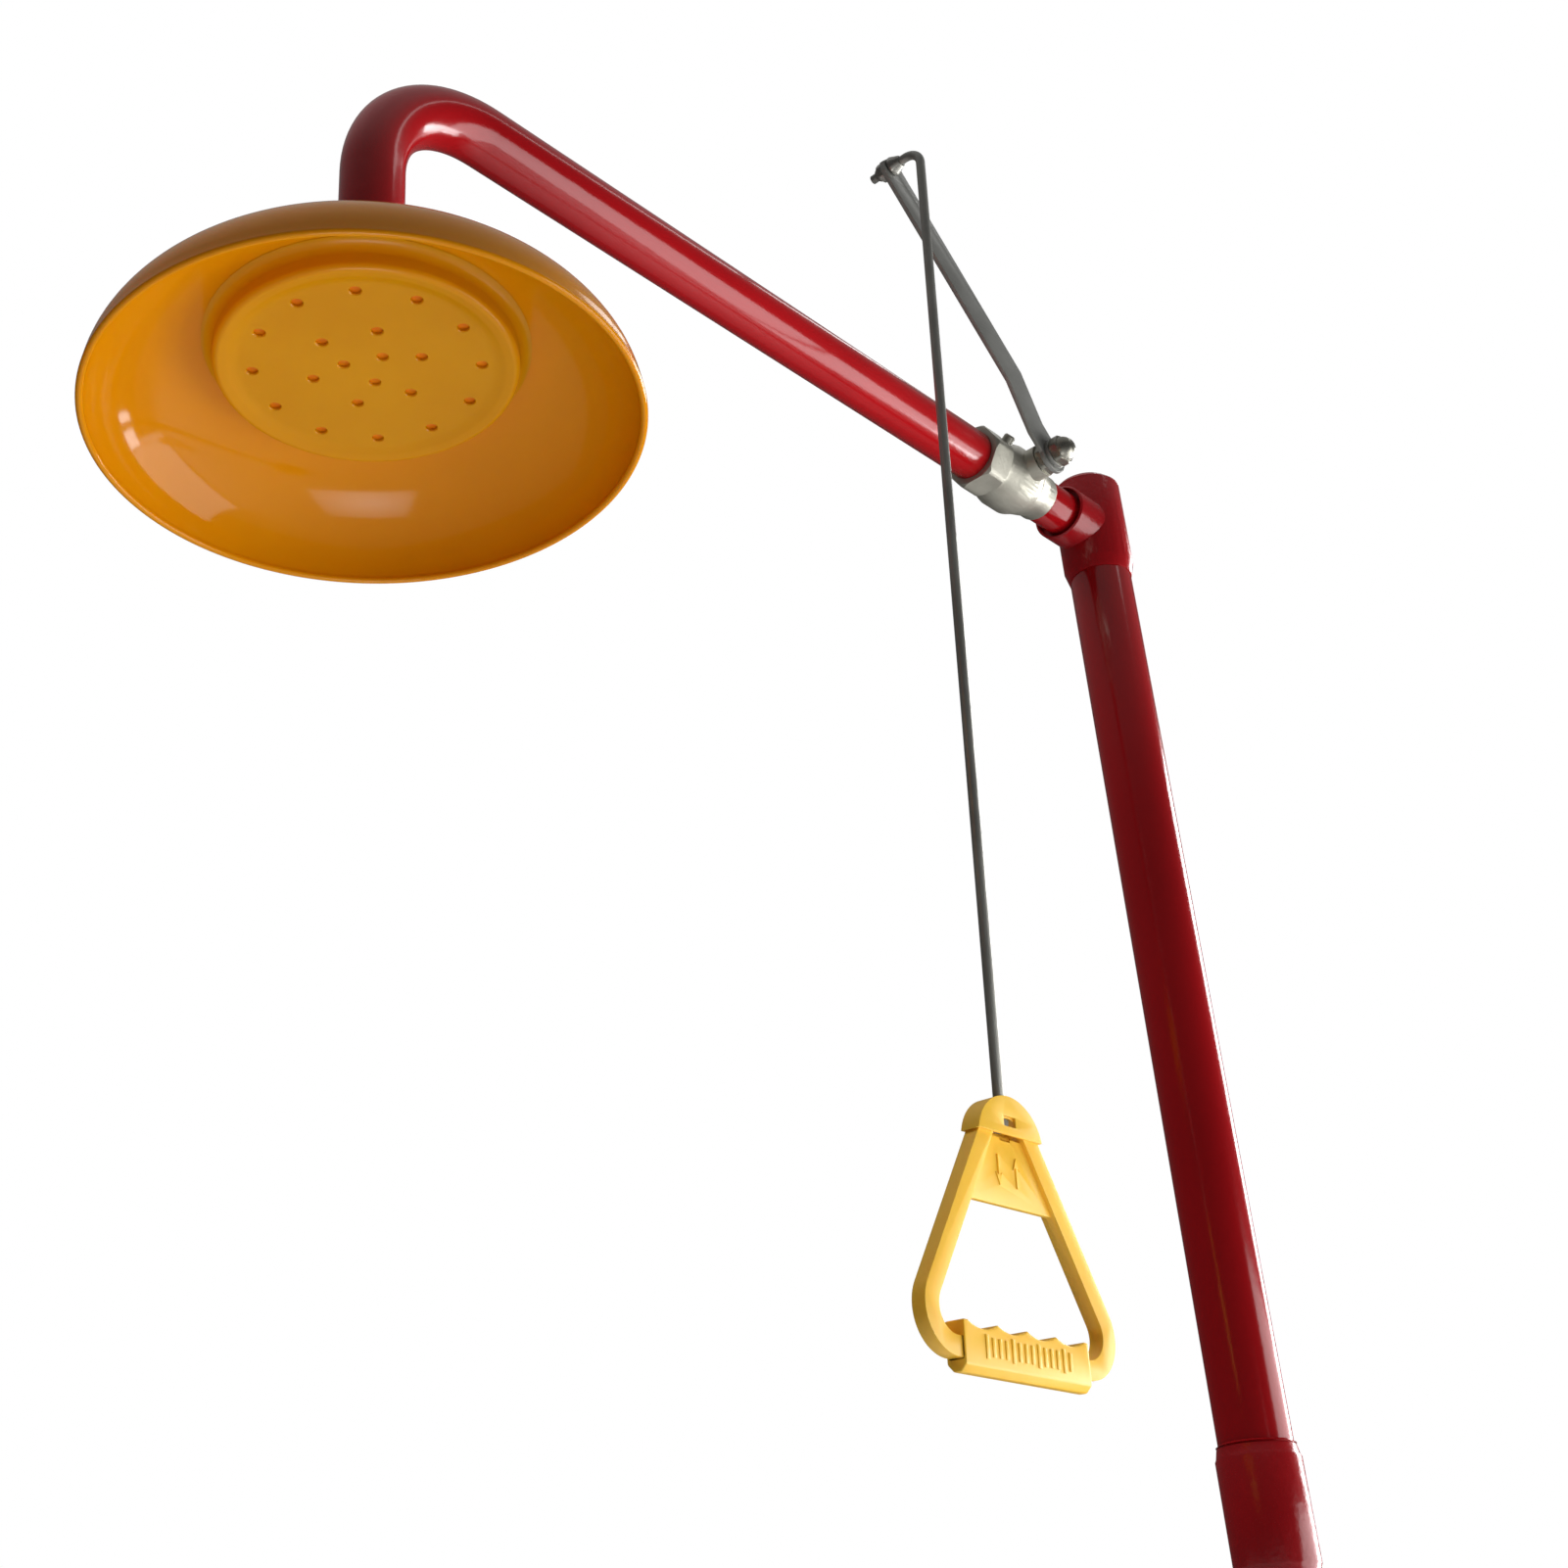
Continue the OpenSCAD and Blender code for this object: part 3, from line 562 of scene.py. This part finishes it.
def arc(
    centre: tuple[float, float], radii: tuple[float, float], start: float, stop: float, steps: int
) -> Profile:
    """Points along an elliptical arc of a profile.

    Args:
        centre: radius and height of the arc's centre.
        radii: the half axes across and up.
        start: the first angle in degrees.
        stop: the last angle in degrees.
        steps: the number of steps.

    Returns:
        The points, both ends included.
    """
    angles = [math.radians(start + (stop - start) * step / steps) for step in range(steps + 1)]
    return [(centre[0] + radii[0] * math.cos(a), centre[1] + radii[1] * math.sin(a)) for a in angles]


@dataclass
class SubAssembly:
    """What every sub-assembly shares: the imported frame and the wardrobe."""

    frame: dict
    wardrobe: Wardrobe

    def node(self, name: str) -> bpy.types.Object:
        """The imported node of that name."""
        return self.frame["nodes"][name]

    def joint(self, name: str) -> dict:
        """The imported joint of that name."""
        return next(j for j in self.frame["joints"] if j["name"] == name)

    def fit(
        self, piece: bpy.types.Object, body: Body, slot: Slot, finish: Finish, replaced: tuple[str, ...] = ()
    ) -> None:
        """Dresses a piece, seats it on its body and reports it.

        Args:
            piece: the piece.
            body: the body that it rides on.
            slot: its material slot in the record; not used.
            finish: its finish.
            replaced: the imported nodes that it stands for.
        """
        self.wardrobe.dress(piece, finish)
        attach(piece, body.value)
        if replaced:
            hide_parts(*replaced)
        LOG.info("%s: %d faces, rides on %s", piece.name, len(piece.data.polygons), body.value)

    def soften(self, node: str, name: str, width: float, body: Body, slot: Slot, finish: Finish) -> None:
        """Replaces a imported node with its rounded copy.

        Args:
            node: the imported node's name.
            name: the new piece's name.
            width: the rounding's width in metres.
            body: the body that it rides on.
            slot: its material slot.
            finish: its finish.
        """
        piece = softened(self.node(node), name, width)
        self.fit(piece, body, slot, finish, (node,))


# ---- Column ----


@dataclass
class Column(SubAssembly):
    """The painted column with its floor flange, fittings and top tee."""

    pipe_radius: float = 0.0212
    pipe_edge: float = 0.0003
    casting_round: float = 0.0016
    flange_round: float = 0.0012
    bead: float = 0.0014
    bead_sink: float = 0.0003
    sleeve_clearance: float = 0.00005
    sleeve_lip: float = 0.0005
    sleeve_bevel: float = 0.007
    sleeve_round: float = 0.0007
    lip_chamfer: float = 0.0002

    def build(self) -> None:
        """Rounds the castings and pipes and paints over the joints."""
        castings = {
            "floor_flange": ("flange_casting", self.flange_round),
            "inlet_tee": ("inlet_casting", self.casting_round),
            "top_tee": ("tee_casting", self.casting_round),
            "tee_cap": ("tee_plug", self.casting_round),
        }
        for node, (name, width) in castings.items():
            self.soften(node, name, width, Body.STAND, Slot.RED, CAST_ENAMEL)
        for node in ("lower_riser", "lower_column", "upper_column"):
            skin = softened(self.node(node), f"{node}_pipe", self.pipe_edge, segments=2)
            self.fit(skin, Body.STAND, Slot.RED, RED_ENAMEL, (node,))
        self.coupling()
        self.paint_fillets()

    def coupling(self) -> None:
        """Models the coupling with its two long bevels."""
        low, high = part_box("column_coupling")
        tall = high.z - low.z
        step, shoulder = self.sleeve_round, tall - self.sleeve_bevel
        bore = self.pipe_radius + self.sleeve_clearance
        lip = self.pipe_radius + self.sleeve_lip
        upper = [
            (high.x - step, shoulder + 0.9 * step), (lip + step, tall - 1.6 * step),
            (lip, tall - step), (lip - self.lip_chamfer, tall), (bore, tall),
        ]
        lower = [(radius, tall - height) for radius, height in reversed(upper)]
        barrel = [(high.x, self.sleeve_bevel + step), (high.x, shoulder - step)]
        profile = lower + barrel + upper + [(bore, 0.0)]
        place = Matrix.Translation((0, 0, low.z))
        sleeve = turned("coupling_sleeve", profile, place, smooth_below=TURNED_ANGLE)
        self.fit(sleeve, Body.STAND, Slot.RED, CAST_ENAMEL, ("column_coupling",))

    def paint_fillets(self) -> None:
        """Adds the painted-over sealant where each pipe enters a fitting."""
        tops = ("floor_flange", "inlet_tee", "column_coupling")
        bottoms = ("inlet_tee", "column_coupling")
        rings = [(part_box(node)[1].z, 1.0, node) for node in tops]
        rings += [(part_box(node)[0].z, -1.0, node) for node in bottoms]
        for height, side, node in rings:
            root = self.pipe_radius - self.bead_sink
            foot = self.bead + self.bead_sink
            hollow = (root + 0.45 * foot, 0.35 * self.bead)
            profile = [(root, 0.0), (root + foot, 0.0), hollow, (root, self.bead), (root, 0.0)]
            if side < 0:
                profile = [(r, -z) for r, z in profile]
            end = "top" if side > 0 else "foot"
            piece = turned(f"{node}_{end}_fillet", profile, Matrix.Translation((0, 0, height)), 72)
            self.fit(piece, Body.STAND, Slot.RED, RED_ENAMEL)


# ---- Arm ----


@dataclass
class Arm(SubAssembly):
    """The bent arm pipe, from the valve to the shower head, and the nipple at the tee."""

    radius: float = 0.01685
    wall: float = 0.0032
    elbow: float = 0.075
    bend_steps: int = 28
    sides: int = 72
    edge: float = 0.0005

    def build(self) -> None:
        """Models the arm as one bent pipe."""
        low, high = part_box("arm_pipe")
        drop_low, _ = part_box("drop_pipe")
        axis_height = (low.z + high.z) / 2
        bend_centre = (low.x, 0, axis_height - self.elbow)
        drop = axis_height - self.elbow - drop_low.z
        pipe = swept(
            "arm_tube", self.radius, (high.x, 0.0, axis_height),
            [
                ("run", (low.x - high.x, 0, 0)),
                ("bend", bend_centre, (0, 1, 0), math.radians(90), self.bend_steps),
                ("run", (0, 0, -drop)),
            ],
            segments=self.sides,
        )
        modify(pipe, "SOLIDIFY", thickness=self.wall, offset=-1.0)
        bevel(pipe, self.edge)
        settle(pipe)
        self.fit(pipe, Body.STAND, Slot.RED, RED_ENAMEL, ("arm_pipe", "arm_elbow", "drop_pipe"))
        self.soften("valve_nipple", "tail_nipple", self.edge, Body.STAND, Slot.RED, RED_ENAMEL)


# ---- Valve ----


@dataclass
class Valve(SubAssembly):
    """The plated ball valve with its gland, stem and seals."""

    casting_round: float = 0.0011
    crisp: float = 0.0006

    def build(self) -> None:
        """Rounds the castings and dresses what is inside them."""
        self.soften("valve_body", "body_casting", self.casting_round, Body.STAND, Slot.PLATING, NICKEL)
        self.soften("valve_tail", "tail_casting", self.crisp, Body.STAND, Slot.PLATING, NICKEL)
        self.soften("gland_nut", "gland_hexagon", self.crisp, Body.STAND, Slot.PLATING, BRIGHT_NICKEL)
        for name in ("body_seal", "ball_seats", "stem_packing"):
            self.wardrobe.dress(self.node(name), SEAL_WHITE)
        self.wardrobe.dress(self.node("valve_ball"), BRIGHT_NICKEL)
        self.wardrobe.dress(self.node("valve_stem"), ROD_STEEL)


# ---- Lever and rod ----


@dataclass
class LeverAndRod(SubAssembly):
    """The lever strip, the bent pull rod and what fastens them."""

    rod_radius: float = 0.003
    bend_radius: float = 0.012
    rod_length: float = 0.653
    lean: float = math.radians(3.17)
    bend_steps: int = 20
    sides: int = 32
    edge: float = 0.0005
    ring_edge: float = 0.0003
    rod_edge: float = 0.0004

    def build(self) -> None:
        """Models the strip, nuts and rod."""
        self.soften("valve_lever", "lever_strip", self.edge, Body.LEVER, Slot.STEEL, LEVER_STEEL)
        self.soften("lever_washer", "lever_ring", self.ring_edge, Body.LEVER, Slot.STEEL, LEVER_STEEL)
        self.soften("lever_nut", "lever_dome_nut", self.edge, Body.LEVER, Slot.PLATING, BRIGHT_NICKEL)
        self.soften("rod_nut", "rod_dome_nut", self.edge, Body.ROD, Slot.STEEL, FASTENER_STEEL)
        self.soften("rod_washer", "rod_ring", self.ring_edge, Body.ROD, Slot.STEEL, FASTENER_STEEL)
        self.soften("rod_collar", "rod_cone", self.edge, Body.ROD, Slot.STEEL, FASTENER_STEEL)
        self.soften("rod_stop", "rod_stop_sleeve", self.rod_edge, Body.ROD, Slot.STEEL, ROD_STEEL)
        self.pull_rod()

    def pull_rod(self) -> None:
        """Models the rod: through the lever, round its bend and down to the handle."""
        low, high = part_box("pull_rod")
        hole = self.joint("rod_hinge")["pos_m"]
        turn = math.pi / 2 + self.lean
        turn_y = low.y + self.rod_radius + self.bend_radius
        start = (hole[0], high.y, hole[2])
        down = Vector((0, math.sin(self.lean), -math.cos(self.lean))) * self.rod_length
        bend_centre = (hole[0], turn_y, hole[2] - self.bend_radius)
        rod = swept(
            "bent_rod", self.rod_radius, start,
            [
                ("run", (0, turn_y - high.y, 0)),
                ("bend", bend_centre, (-1, 0, 0), turn, self.bend_steps),
                ("run", tuple(down)),
            ],
            segments=self.sides,
        )
        pick_up(rod)
        edit_all()
        bpy.ops.mesh.select_all(action="DESELECT")
        bpy.ops.mesh.select_non_manifold()
        bpy.ops.mesh.edge_face_add()
        bpy.ops.object.mode_set(mode="OBJECT")
        clean(rod)
        bevel(rod, self.rod_edge)
        settle(rod)
        self.fit(rod, Body.ROD, Slot.STEEL, ROD_STEEL, ("pull_rod",))


# ---- Shower head ----


@dataclass
class ShowerHead(SubAssembly):
    """The amber bowl, its spray plate and the nuts that hold them."""

    rim_radius: float = 0.1332
    depth: float = 0.053
    shoulder: float = 0.075
    wall: float = 0.003
    bore: float = 0.0169
    plate_radius: float = 0.0737
    plate_rise: float = 0.0341
    plate_wall: float = 0.0018
    disc_wall: float = 0.0012
    disc_bore: float = 0.004
    lip: float = 0.0032
    dish: float = 0.0022
    fillet: float = 0.0058
    middle: float = 0.002
    hair: float = 0.0001
    hole_radius: float = 0.0028
    hole_flare: float = 0.0009
    nut_round: float = 0.0007
    bowl_sides: int = 192
    plate_sides: int = 160
    hole_sides: int = 28
    rings: tuple[tuple[float, int, float], ...] = ((0.0551, 12, 16.3), (0.0276, 6, 1.6), (0.0113, 3, 32.3))
    axis: float = field(init=False, default=0.0)
    rim: float = field(init=False, default=0.0)

    def build(self) -> None:
        """Models the bowl, plate and disc and dresses the nuts."""
        low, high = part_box("head_bowl")
        self.axis = (low.x + high.x) / 2
        self.rim = high.z - self.depth
        self.bowl()
        self.spray_plate()
        self.soften("head_locknut", "crown_locknut", self.nut_round, Body.STAND, Slot.RED, CAST_ENAMEL)
        self.soften("head_nut", "inner_nut", self.nut_round, Body.STAND, Slot.PLATING, NICKEL)
        self.wardrobe.dress(self.node("head_gasket"), BLACK_RUBBER)

    def ceiling(self, radius: float) -> float:
        """Height of the bowl's inner face above the rim, at a radius on its shoulder."""
        across = (radius - self.rim_radius + self.shoulder) / (self.shoulder - self.wall)
        return (self.depth - self.wall) * math.sqrt(1 - across * across)

    def bowl(self) -> None:
        """Models the bowl with its rolled rim and thickened crown."""
        crown = self.rim_radius - self.shoulder
        bead = self.wall / 2 + 3 * self.hair
        middle = (self.rim_radius - self.wall / 2, self.wall / 2)
        outside = arc((crown, 0.0), (self.shoulder, self.depth), 4, 90, 30)
        inside = arc((crown, 0.0), (self.shoulder - self.wall, self.depth - self.wall), 90, 4, 30)
        roll = arc(middle, (bead, bead), -205, 25, 12)
        top = [(self.bore + 0.010, self.depth), (self.bore, self.depth), (self.bore, self.depth - self.wall)]
        profile = outside + top + inside + roll
        profile.append(profile[0])
        place = Matrix.Translation((self.axis, 0, self.rim))
        piece = turned("bowl_shell", profile, place, self.bowl_sides, TURNED_ANGLE)
        self.fit(piece, Body.STAND, Slot.BOWL, AMBER, ("head_bowl",))

    def spray_plate(self) -> None:
        """Models the drum-shaped plate, its rounded lip and its spray holes."""
        edge, floor = self.plate_radius, self.dish + self.plate_wall
        skirt_top = self.ceiling(edge) - self.plate_rise
        flare = edge + self.fillet
        flare_top = self.ceiling(flare) - self.plate_rise - 2 * self.hair
        lip = arc((edge - self.lip, self.lip), (self.lip, self.lip), -110, 0, 10)
        dish = [
            (edge - 0.0145, self.dish), (edge - 0.0125, self.dish - self.hair),
            (edge - 0.0105, self.dish - 0.0005), (edge - 0.0080, 0.0009), (edge - 0.0062, 0.0003),
        ]
        fillet = arc((flare, flare_top - self.fillet), (self.fillet, self.fillet), 180, 92, 10)
        back = [
            (flare - 0.001, flare_top + self.hair), (edge - 0.002, skirt_top - 2 * self.hair),
            (edge - self.plate_wall, skirt_top - 0.0008), (edge - self.plate_wall, floor),
            (self.middle, floor), (self.middle, self.dish),
        ]
        profile = [(self.middle, self.dish), (0.030, self.dish)] + dish + lip + fillet + back
        place = Matrix.Translation((self.axis, 0, self.rim + self.plate_rise))
        plate = turned("spray_disc", profile, Matrix.Identity(4), self.plate_sides, TURNED_ANGLE)
        self.close_middle(plate)
        cutter = self.hole_cutter()
        modify(plate, "BOOLEAN", object=cutter, operation="DIFFERENCE", solver="EXACT")
        bpy.data.objects.remove(cutter)
        plate.matrix_world = place
        settle(plate, TURNED_ANGLE)
        # The plate's yellower amber is painted light on a face lit from below.
        self.fit(plate, Body.STAND, Slot.BOWL, PAINTED_LIGHT_AMBER_PLATE, ("spray_plate", "plate_seal"))
        self.painted_shade_backing(place)

    def painted_shade_backing(self, place: Matrix) -> None:
        """Models the thin disc behind the spray holes, meant as the water's diffuser; its deeper orange is
        painted shade, so that the holes look orange.

        Args:
            place: the plate's own frame.
        """
        low = self.dish + self.plate_wall + self.hair
        high = low + self.disc_wall
        edge, bore = self.plate_radius - self.plate_wall - 0.0006, self.disc_bore
        rounded = [(edge - 0.0005, low), (edge, low + 0.0004)]
        profile = [(bore, low)] + rounded + [(edge, high), (bore, high), (bore, low)]
        disc = turned("painted_shade_backing_disc", profile, place)
        # The disc's red-orange is painted shade seen through the spray holes.
        self.fit(disc, Body.STAND, Slot.BOWL, PAINTED_SHADE_AMBER)

    def close_middle(self, plate: bpy.types.Object) -> None:
        """Takes the wall off the small bore at the plate's middle and fills both of its rings.

        Args:
            plate: the turned plate.
        """
        pick_up(plate)
        bpy.ops.object.mode_set(mode="OBJECT")
        for vertex in plate.data.vertices:
            vertex.select = False
        for edge in plate.data.edges:
            edge.select = False
        reach = self.middle + self.hair
        for face in plate.data.polygons:
            face.select = all(plate.data.vertices[v].co.xy.length < reach for v in face.vertices)
        bpy.ops.object.mode_set(mode="EDIT")
        bpy.ops.mesh.select_mode(type="FACE")
        bpy.ops.mesh.delete(type="FACE")
        bpy.ops.mesh.select_mode(type="EDGE")
        bpy.ops.mesh.select_all(action="DESELECT")
        bpy.ops.mesh.select_non_manifold()
        bpy.ops.mesh.fill_holes(sides=0)
        bpy.ops.object.mode_set(mode="OBJECT")
        clean(plate)

    def hole_cutter(self) -> bpy.types.Object:
        """Models one countersunk peg for each spray hole.

        Returns:
            The pegs, joined.
        """
        low, high = self.dish - 0.0005, self.dish + self.plate_wall + 0.001
        bore, hole = self.hair, self.hole_radius
        flare = [(hole + self.hole_flare, low), (hole, self.dish + 0.0005)]
        profile = [(bore, low)] + flare + [(hole, high), (bore, high), (bore, low)]
        pegs = []
        for radius, count, turn in self.rings:
            for index in range(count):
                angle = math.radians(turn + 360 * index / count)
                spot = Matrix.Translation((radius * math.cos(angle), radius * math.sin(angle), 0))
                pegs.append(turned(f"peg_{len(pegs)}", profile, spot, self.hole_sides))
        cutter = joined(pegs)
        clean(cutter, 2.5 * self.hair)
        return cutter


# ---- Pull handle ----


@dataclass
class PullHandle(SubAssembly):
    """The triangular handle: frame, cap and ribbed grip."""

    turn: float = math.radians(-3.3)
    grip_half: float = 0.006
    frame_round: float = 0.0011
    cap_round: float = 0.0009
    grip_round: float = 0.0010
    rib_count: int = 14
    rib_pitch: float = 0.0049
    rib_width: float = 0.0023
    rib_height: float = 0.0094
    rib_rise: float = 0.0006
    rib_level: float = -0.1345
    rib_edge: float = 0.00035
    tall_every: int = 4
    tall_ratio: float = 1.25

    def build(self) -> None:
        """Rounds the mouldings and adds the grip's ribs."""
        self.soften("handle_frame", "frame_moulding", self.frame_round, Body.HANDLE, Slot.HANDLE, YELLOW)
        self.soften("handle_cap", "cap_moulding", self.cap_round, Body.HANDLE, Slot.HANDLE, YELLOW)
        self.soften("handle_grip", "grip_moulding", self.grip_round, Body.HANDLE, Slot.HANDLE, YELLOW)
        self.grip_ribs()

    def place(self) -> Matrix:
        """The handle's own frame: X across, Z up along the rod."""
        joint = self.joint("handle_swivel")
        lean = math.atan2(-joint["axis"][1], joint["axis"][2])
        turned_frame = Matrix.Rotation(lean, 4, "X") @ Matrix.Rotation(self.turn, 4, "Z")
        return Matrix.Translation(joint["pos_m"]) @ turned_frame

    def grip_ribs(self) -> None:
        """Models the raised ribs on both faces of the grip."""
        put_down()
        for face, side in (("front", -1), ("back", 1)):
            ribs = []
            for index in range(self.rib_count):
                across = (index - (self.rib_count - 1) / 2) * self.rib_pitch
                tall = self.rib_height * (1.0 if index % self.tall_every else self.tall_ratio)
                place = (across, side * self.grip_half, self.rib_level)
                bpy.ops.mesh.primitive_cube_add(size=1, location=place)
                rib = bpy.context.object
                rib.scale = (self.rib_width, 2 * self.rib_rise, tall)
                ribs.append(rib)
            piece = joined(ribs)
            piece.name = f"grip_ribs_{face}"
            pick_up(piece)
            bpy.ops.object.transform_apply(location=True, rotation=True, scale=True)
            bevel(piece, self.rib_edge)
            piece.matrix_world = self.place()
            settle(piece)
            self.fit(piece, Body.HANDLE, Slot.HANDLE, YELLOW)


# ---- Studio ----


@dataclass(frozen=True)
class Softbox:
    """One soft light that the camera doesn't see.

    It has its middle, the point that it faces, its width and height, its power in watts and its
    grid's angle in degrees. A light that isn't mirrored doesn't show in glossy surfaces.
    """

    name: str
    place: Point
    aim: Point
    size: tuple[float, float]
    power: float
    grid: float = 180.0
    mirrored: bool = True

    def hang(self) -> None:
        """Adds the light to the scene."""
        put_down()
        bpy.ops.object.light_add(type="AREA", location=self.place)
        light = bpy.context.object
        light.name = self.name
        light.data.shape = "RECTANGLE"
        light.data.size, light.data.size_y = self.size
        light.data.energy = self.power
        light.data.spread = math.radians(self.grid)
        facing = Vector(self.aim) - Vector(self.place)
        light.rotation_euler = facing.to_track_quat("-Z", "Y").to_euler()
        light.visible_camera = False
        light.visible_glossy = self.mirrored


SOFTBOXES = (
    Softbox("low_key", (1.60, -1.72, 1.05), (-0.30, 0.0, 2.00), (2.6, 2.0), 62.0),
    Softbox("edge_box", (2.5, -0.45, 2.3), (0.0, 0.0, 1.9), (0.9, 2.4), 80.0),
    Softbox("under_fill", (-0.85, -0.25, 0.80), (-0.62, 0.0, 2.1), (0.6, 0.6), 0.36, grid=45.0),
    Softbox("pull_fill", (-0.30, -0.80, 1.55), (-0.256, -0.06, 1.765), (0.15, 0.15), 0.065, grid=28.0),
    Softbox("crown_box", (-1.0, 0.4, 4.6), (-0.6, 0.0, 2.1), (1.2, 1.2), 34.0, mirrored=False),
    Softbox("roof_strip", (1.15, -0.55, 4.25), (-0.35, 0.0, 2.3), (2.6, 0.12), 2.6),
)


@dataclass
class Studio:
    """Camera, floor, surround and soft lights."""

    wardrobe: Wardrobe
    eye: Point = (-1.1282, -0.6257, 1.4948)
    right: Point = (0.7246, -0.6886, -0.0306)
    up: Point = (-0.3153, -0.3706, 0.8738)
    forward: Point = (0.6129, 0.6234, 0.4856)
    lens: float = 47.27
    film: float = 36.0
    nearest: float = 0.02
    shift: tuple[float, float] = (0.1222, -0.0339)
    floor_size: float = 9.0
    floor_level: float = -0.0005
    surround: tuple[tuple[float, float], ...] = ((0.30, 0.06), (0.55, 0.05), (0.78, 0.08), (0.95, 0.36))

    def build(self) -> None:
        """Sets up the camera, floor, world and lights."""
        self.camera()
        self.floor()
        self.world()
        for softbox in SOFTBOXES:
            softbox.hang()
        view = bpy.context.scene.view_settings
        view.view_transform = "Standard"
        view.look = "None"

    def camera(self) -> None:
        """Creates the camera."""
        put_down()
        axes = Matrix((self.right, self.up, -Vector(self.forward))).transposed().to_4x4()
        bpy.ops.object.camera_add()
        camera = bpy.context.object
        camera.name = "studio_camera"
        camera.matrix_world = Matrix.Translation(self.eye) @ axes.to_quaternion().to_matrix().to_4x4()
        camera.data.sensor_width = self.film
        camera.data.lens = self.lens
        camera.data.shift_x, camera.data.shift_y = self.shift
        camera.data.clip_start = self.nearest
        bpy.context.scene.camera = camera

    def floor(self) -> None:
        """Lays the pale floor."""
        put_down()
        bpy.ops.mesh.primitive_plane_add(size=self.floor_size, location=(0, 0, self.floor_level))
        floor = bpy.context.object
        floor.name = "studio_floor"
        self.wardrobe.dress(floor, STUDIO_FLOOR)

    def world(self) -> None:
        """Makes a surround that looks white and lights the pieces by a dim ramp from floor to roof."""
        world = bpy.data.worlds.new("studio_surround")
        bpy.context.scene.world = world
        world.use_nodes = True
        nodes, links = world.node_tree.nodes, world.node_tree.links
        nodes.clear()
        output = nodes.new("ShaderNodeOutputWorld")
        mixer = nodes.new("ShaderNodeMixShader")
        path = nodes.new("ShaderNodeLightPath")
        seen = nodes.new("ShaderNodeBackground")
        seen.inputs["Color"].default_value = (1, 1, 1, 1)
        seen.inputs["Strength"].default_value = 1.0
        lit = nodes.new("ShaderNodeBackground")
        lit.inputs["Strength"].default_value = 1.0
        ramp = nodes.new("ShaderNodeValToRGB")
        while len(ramp.color_ramp.elements) < len(self.surround):
            ramp.color_ramp.elements.new(0.5)
        for element, (place, level) in zip(ramp.color_ramp.elements, self.surround):
            element.position = place
            element.color = (level, level, level, 1)
        split = nodes.new("ShaderNodeSeparateXYZ")
        spread = nodes.new("ShaderNodeMapRange")
        spread.inputs["From Min"].default_value = -1.0
        coordinates = nodes.new("ShaderNodeTexCoord")
        links.new(coordinates.outputs["Generated"], split.inputs["Vector"])
        links.new(split.outputs["Z"], spread.inputs["Value"])
        links.new(spread.outputs["Result"], ramp.inputs["Fac"])
        links.new(ramp.outputs["Color"], lit.inputs["Color"])
        links.new(path.outputs["Is Camera Ray"], mixer.inputs["Fac"])
        links.new(lit.outputs["Background"], mixer.inputs[1])
        links.new(seen.outputs["Background"], mixer.inputs[2])
        links.new(mixer.outputs["Shader"], output.inputs["Surface"])


def main() -> None:
    """Builds the sub-assemblies in order."""
    logging.basicConfig(level=logging.INFO, format="%(name)s: %(message)s")
    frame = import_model()
    wardrobe = Wardrobe()
    Studio(wardrobe).build()
    for kind in (Column, Arm, Valve, LeverAndRod, ShowerHead, PullHandle):
        LOG.info("building %s", kind.__name__)
        kind(frame, wardrobe).build()
    put_down()


if __name__ == "__main__":
    main()
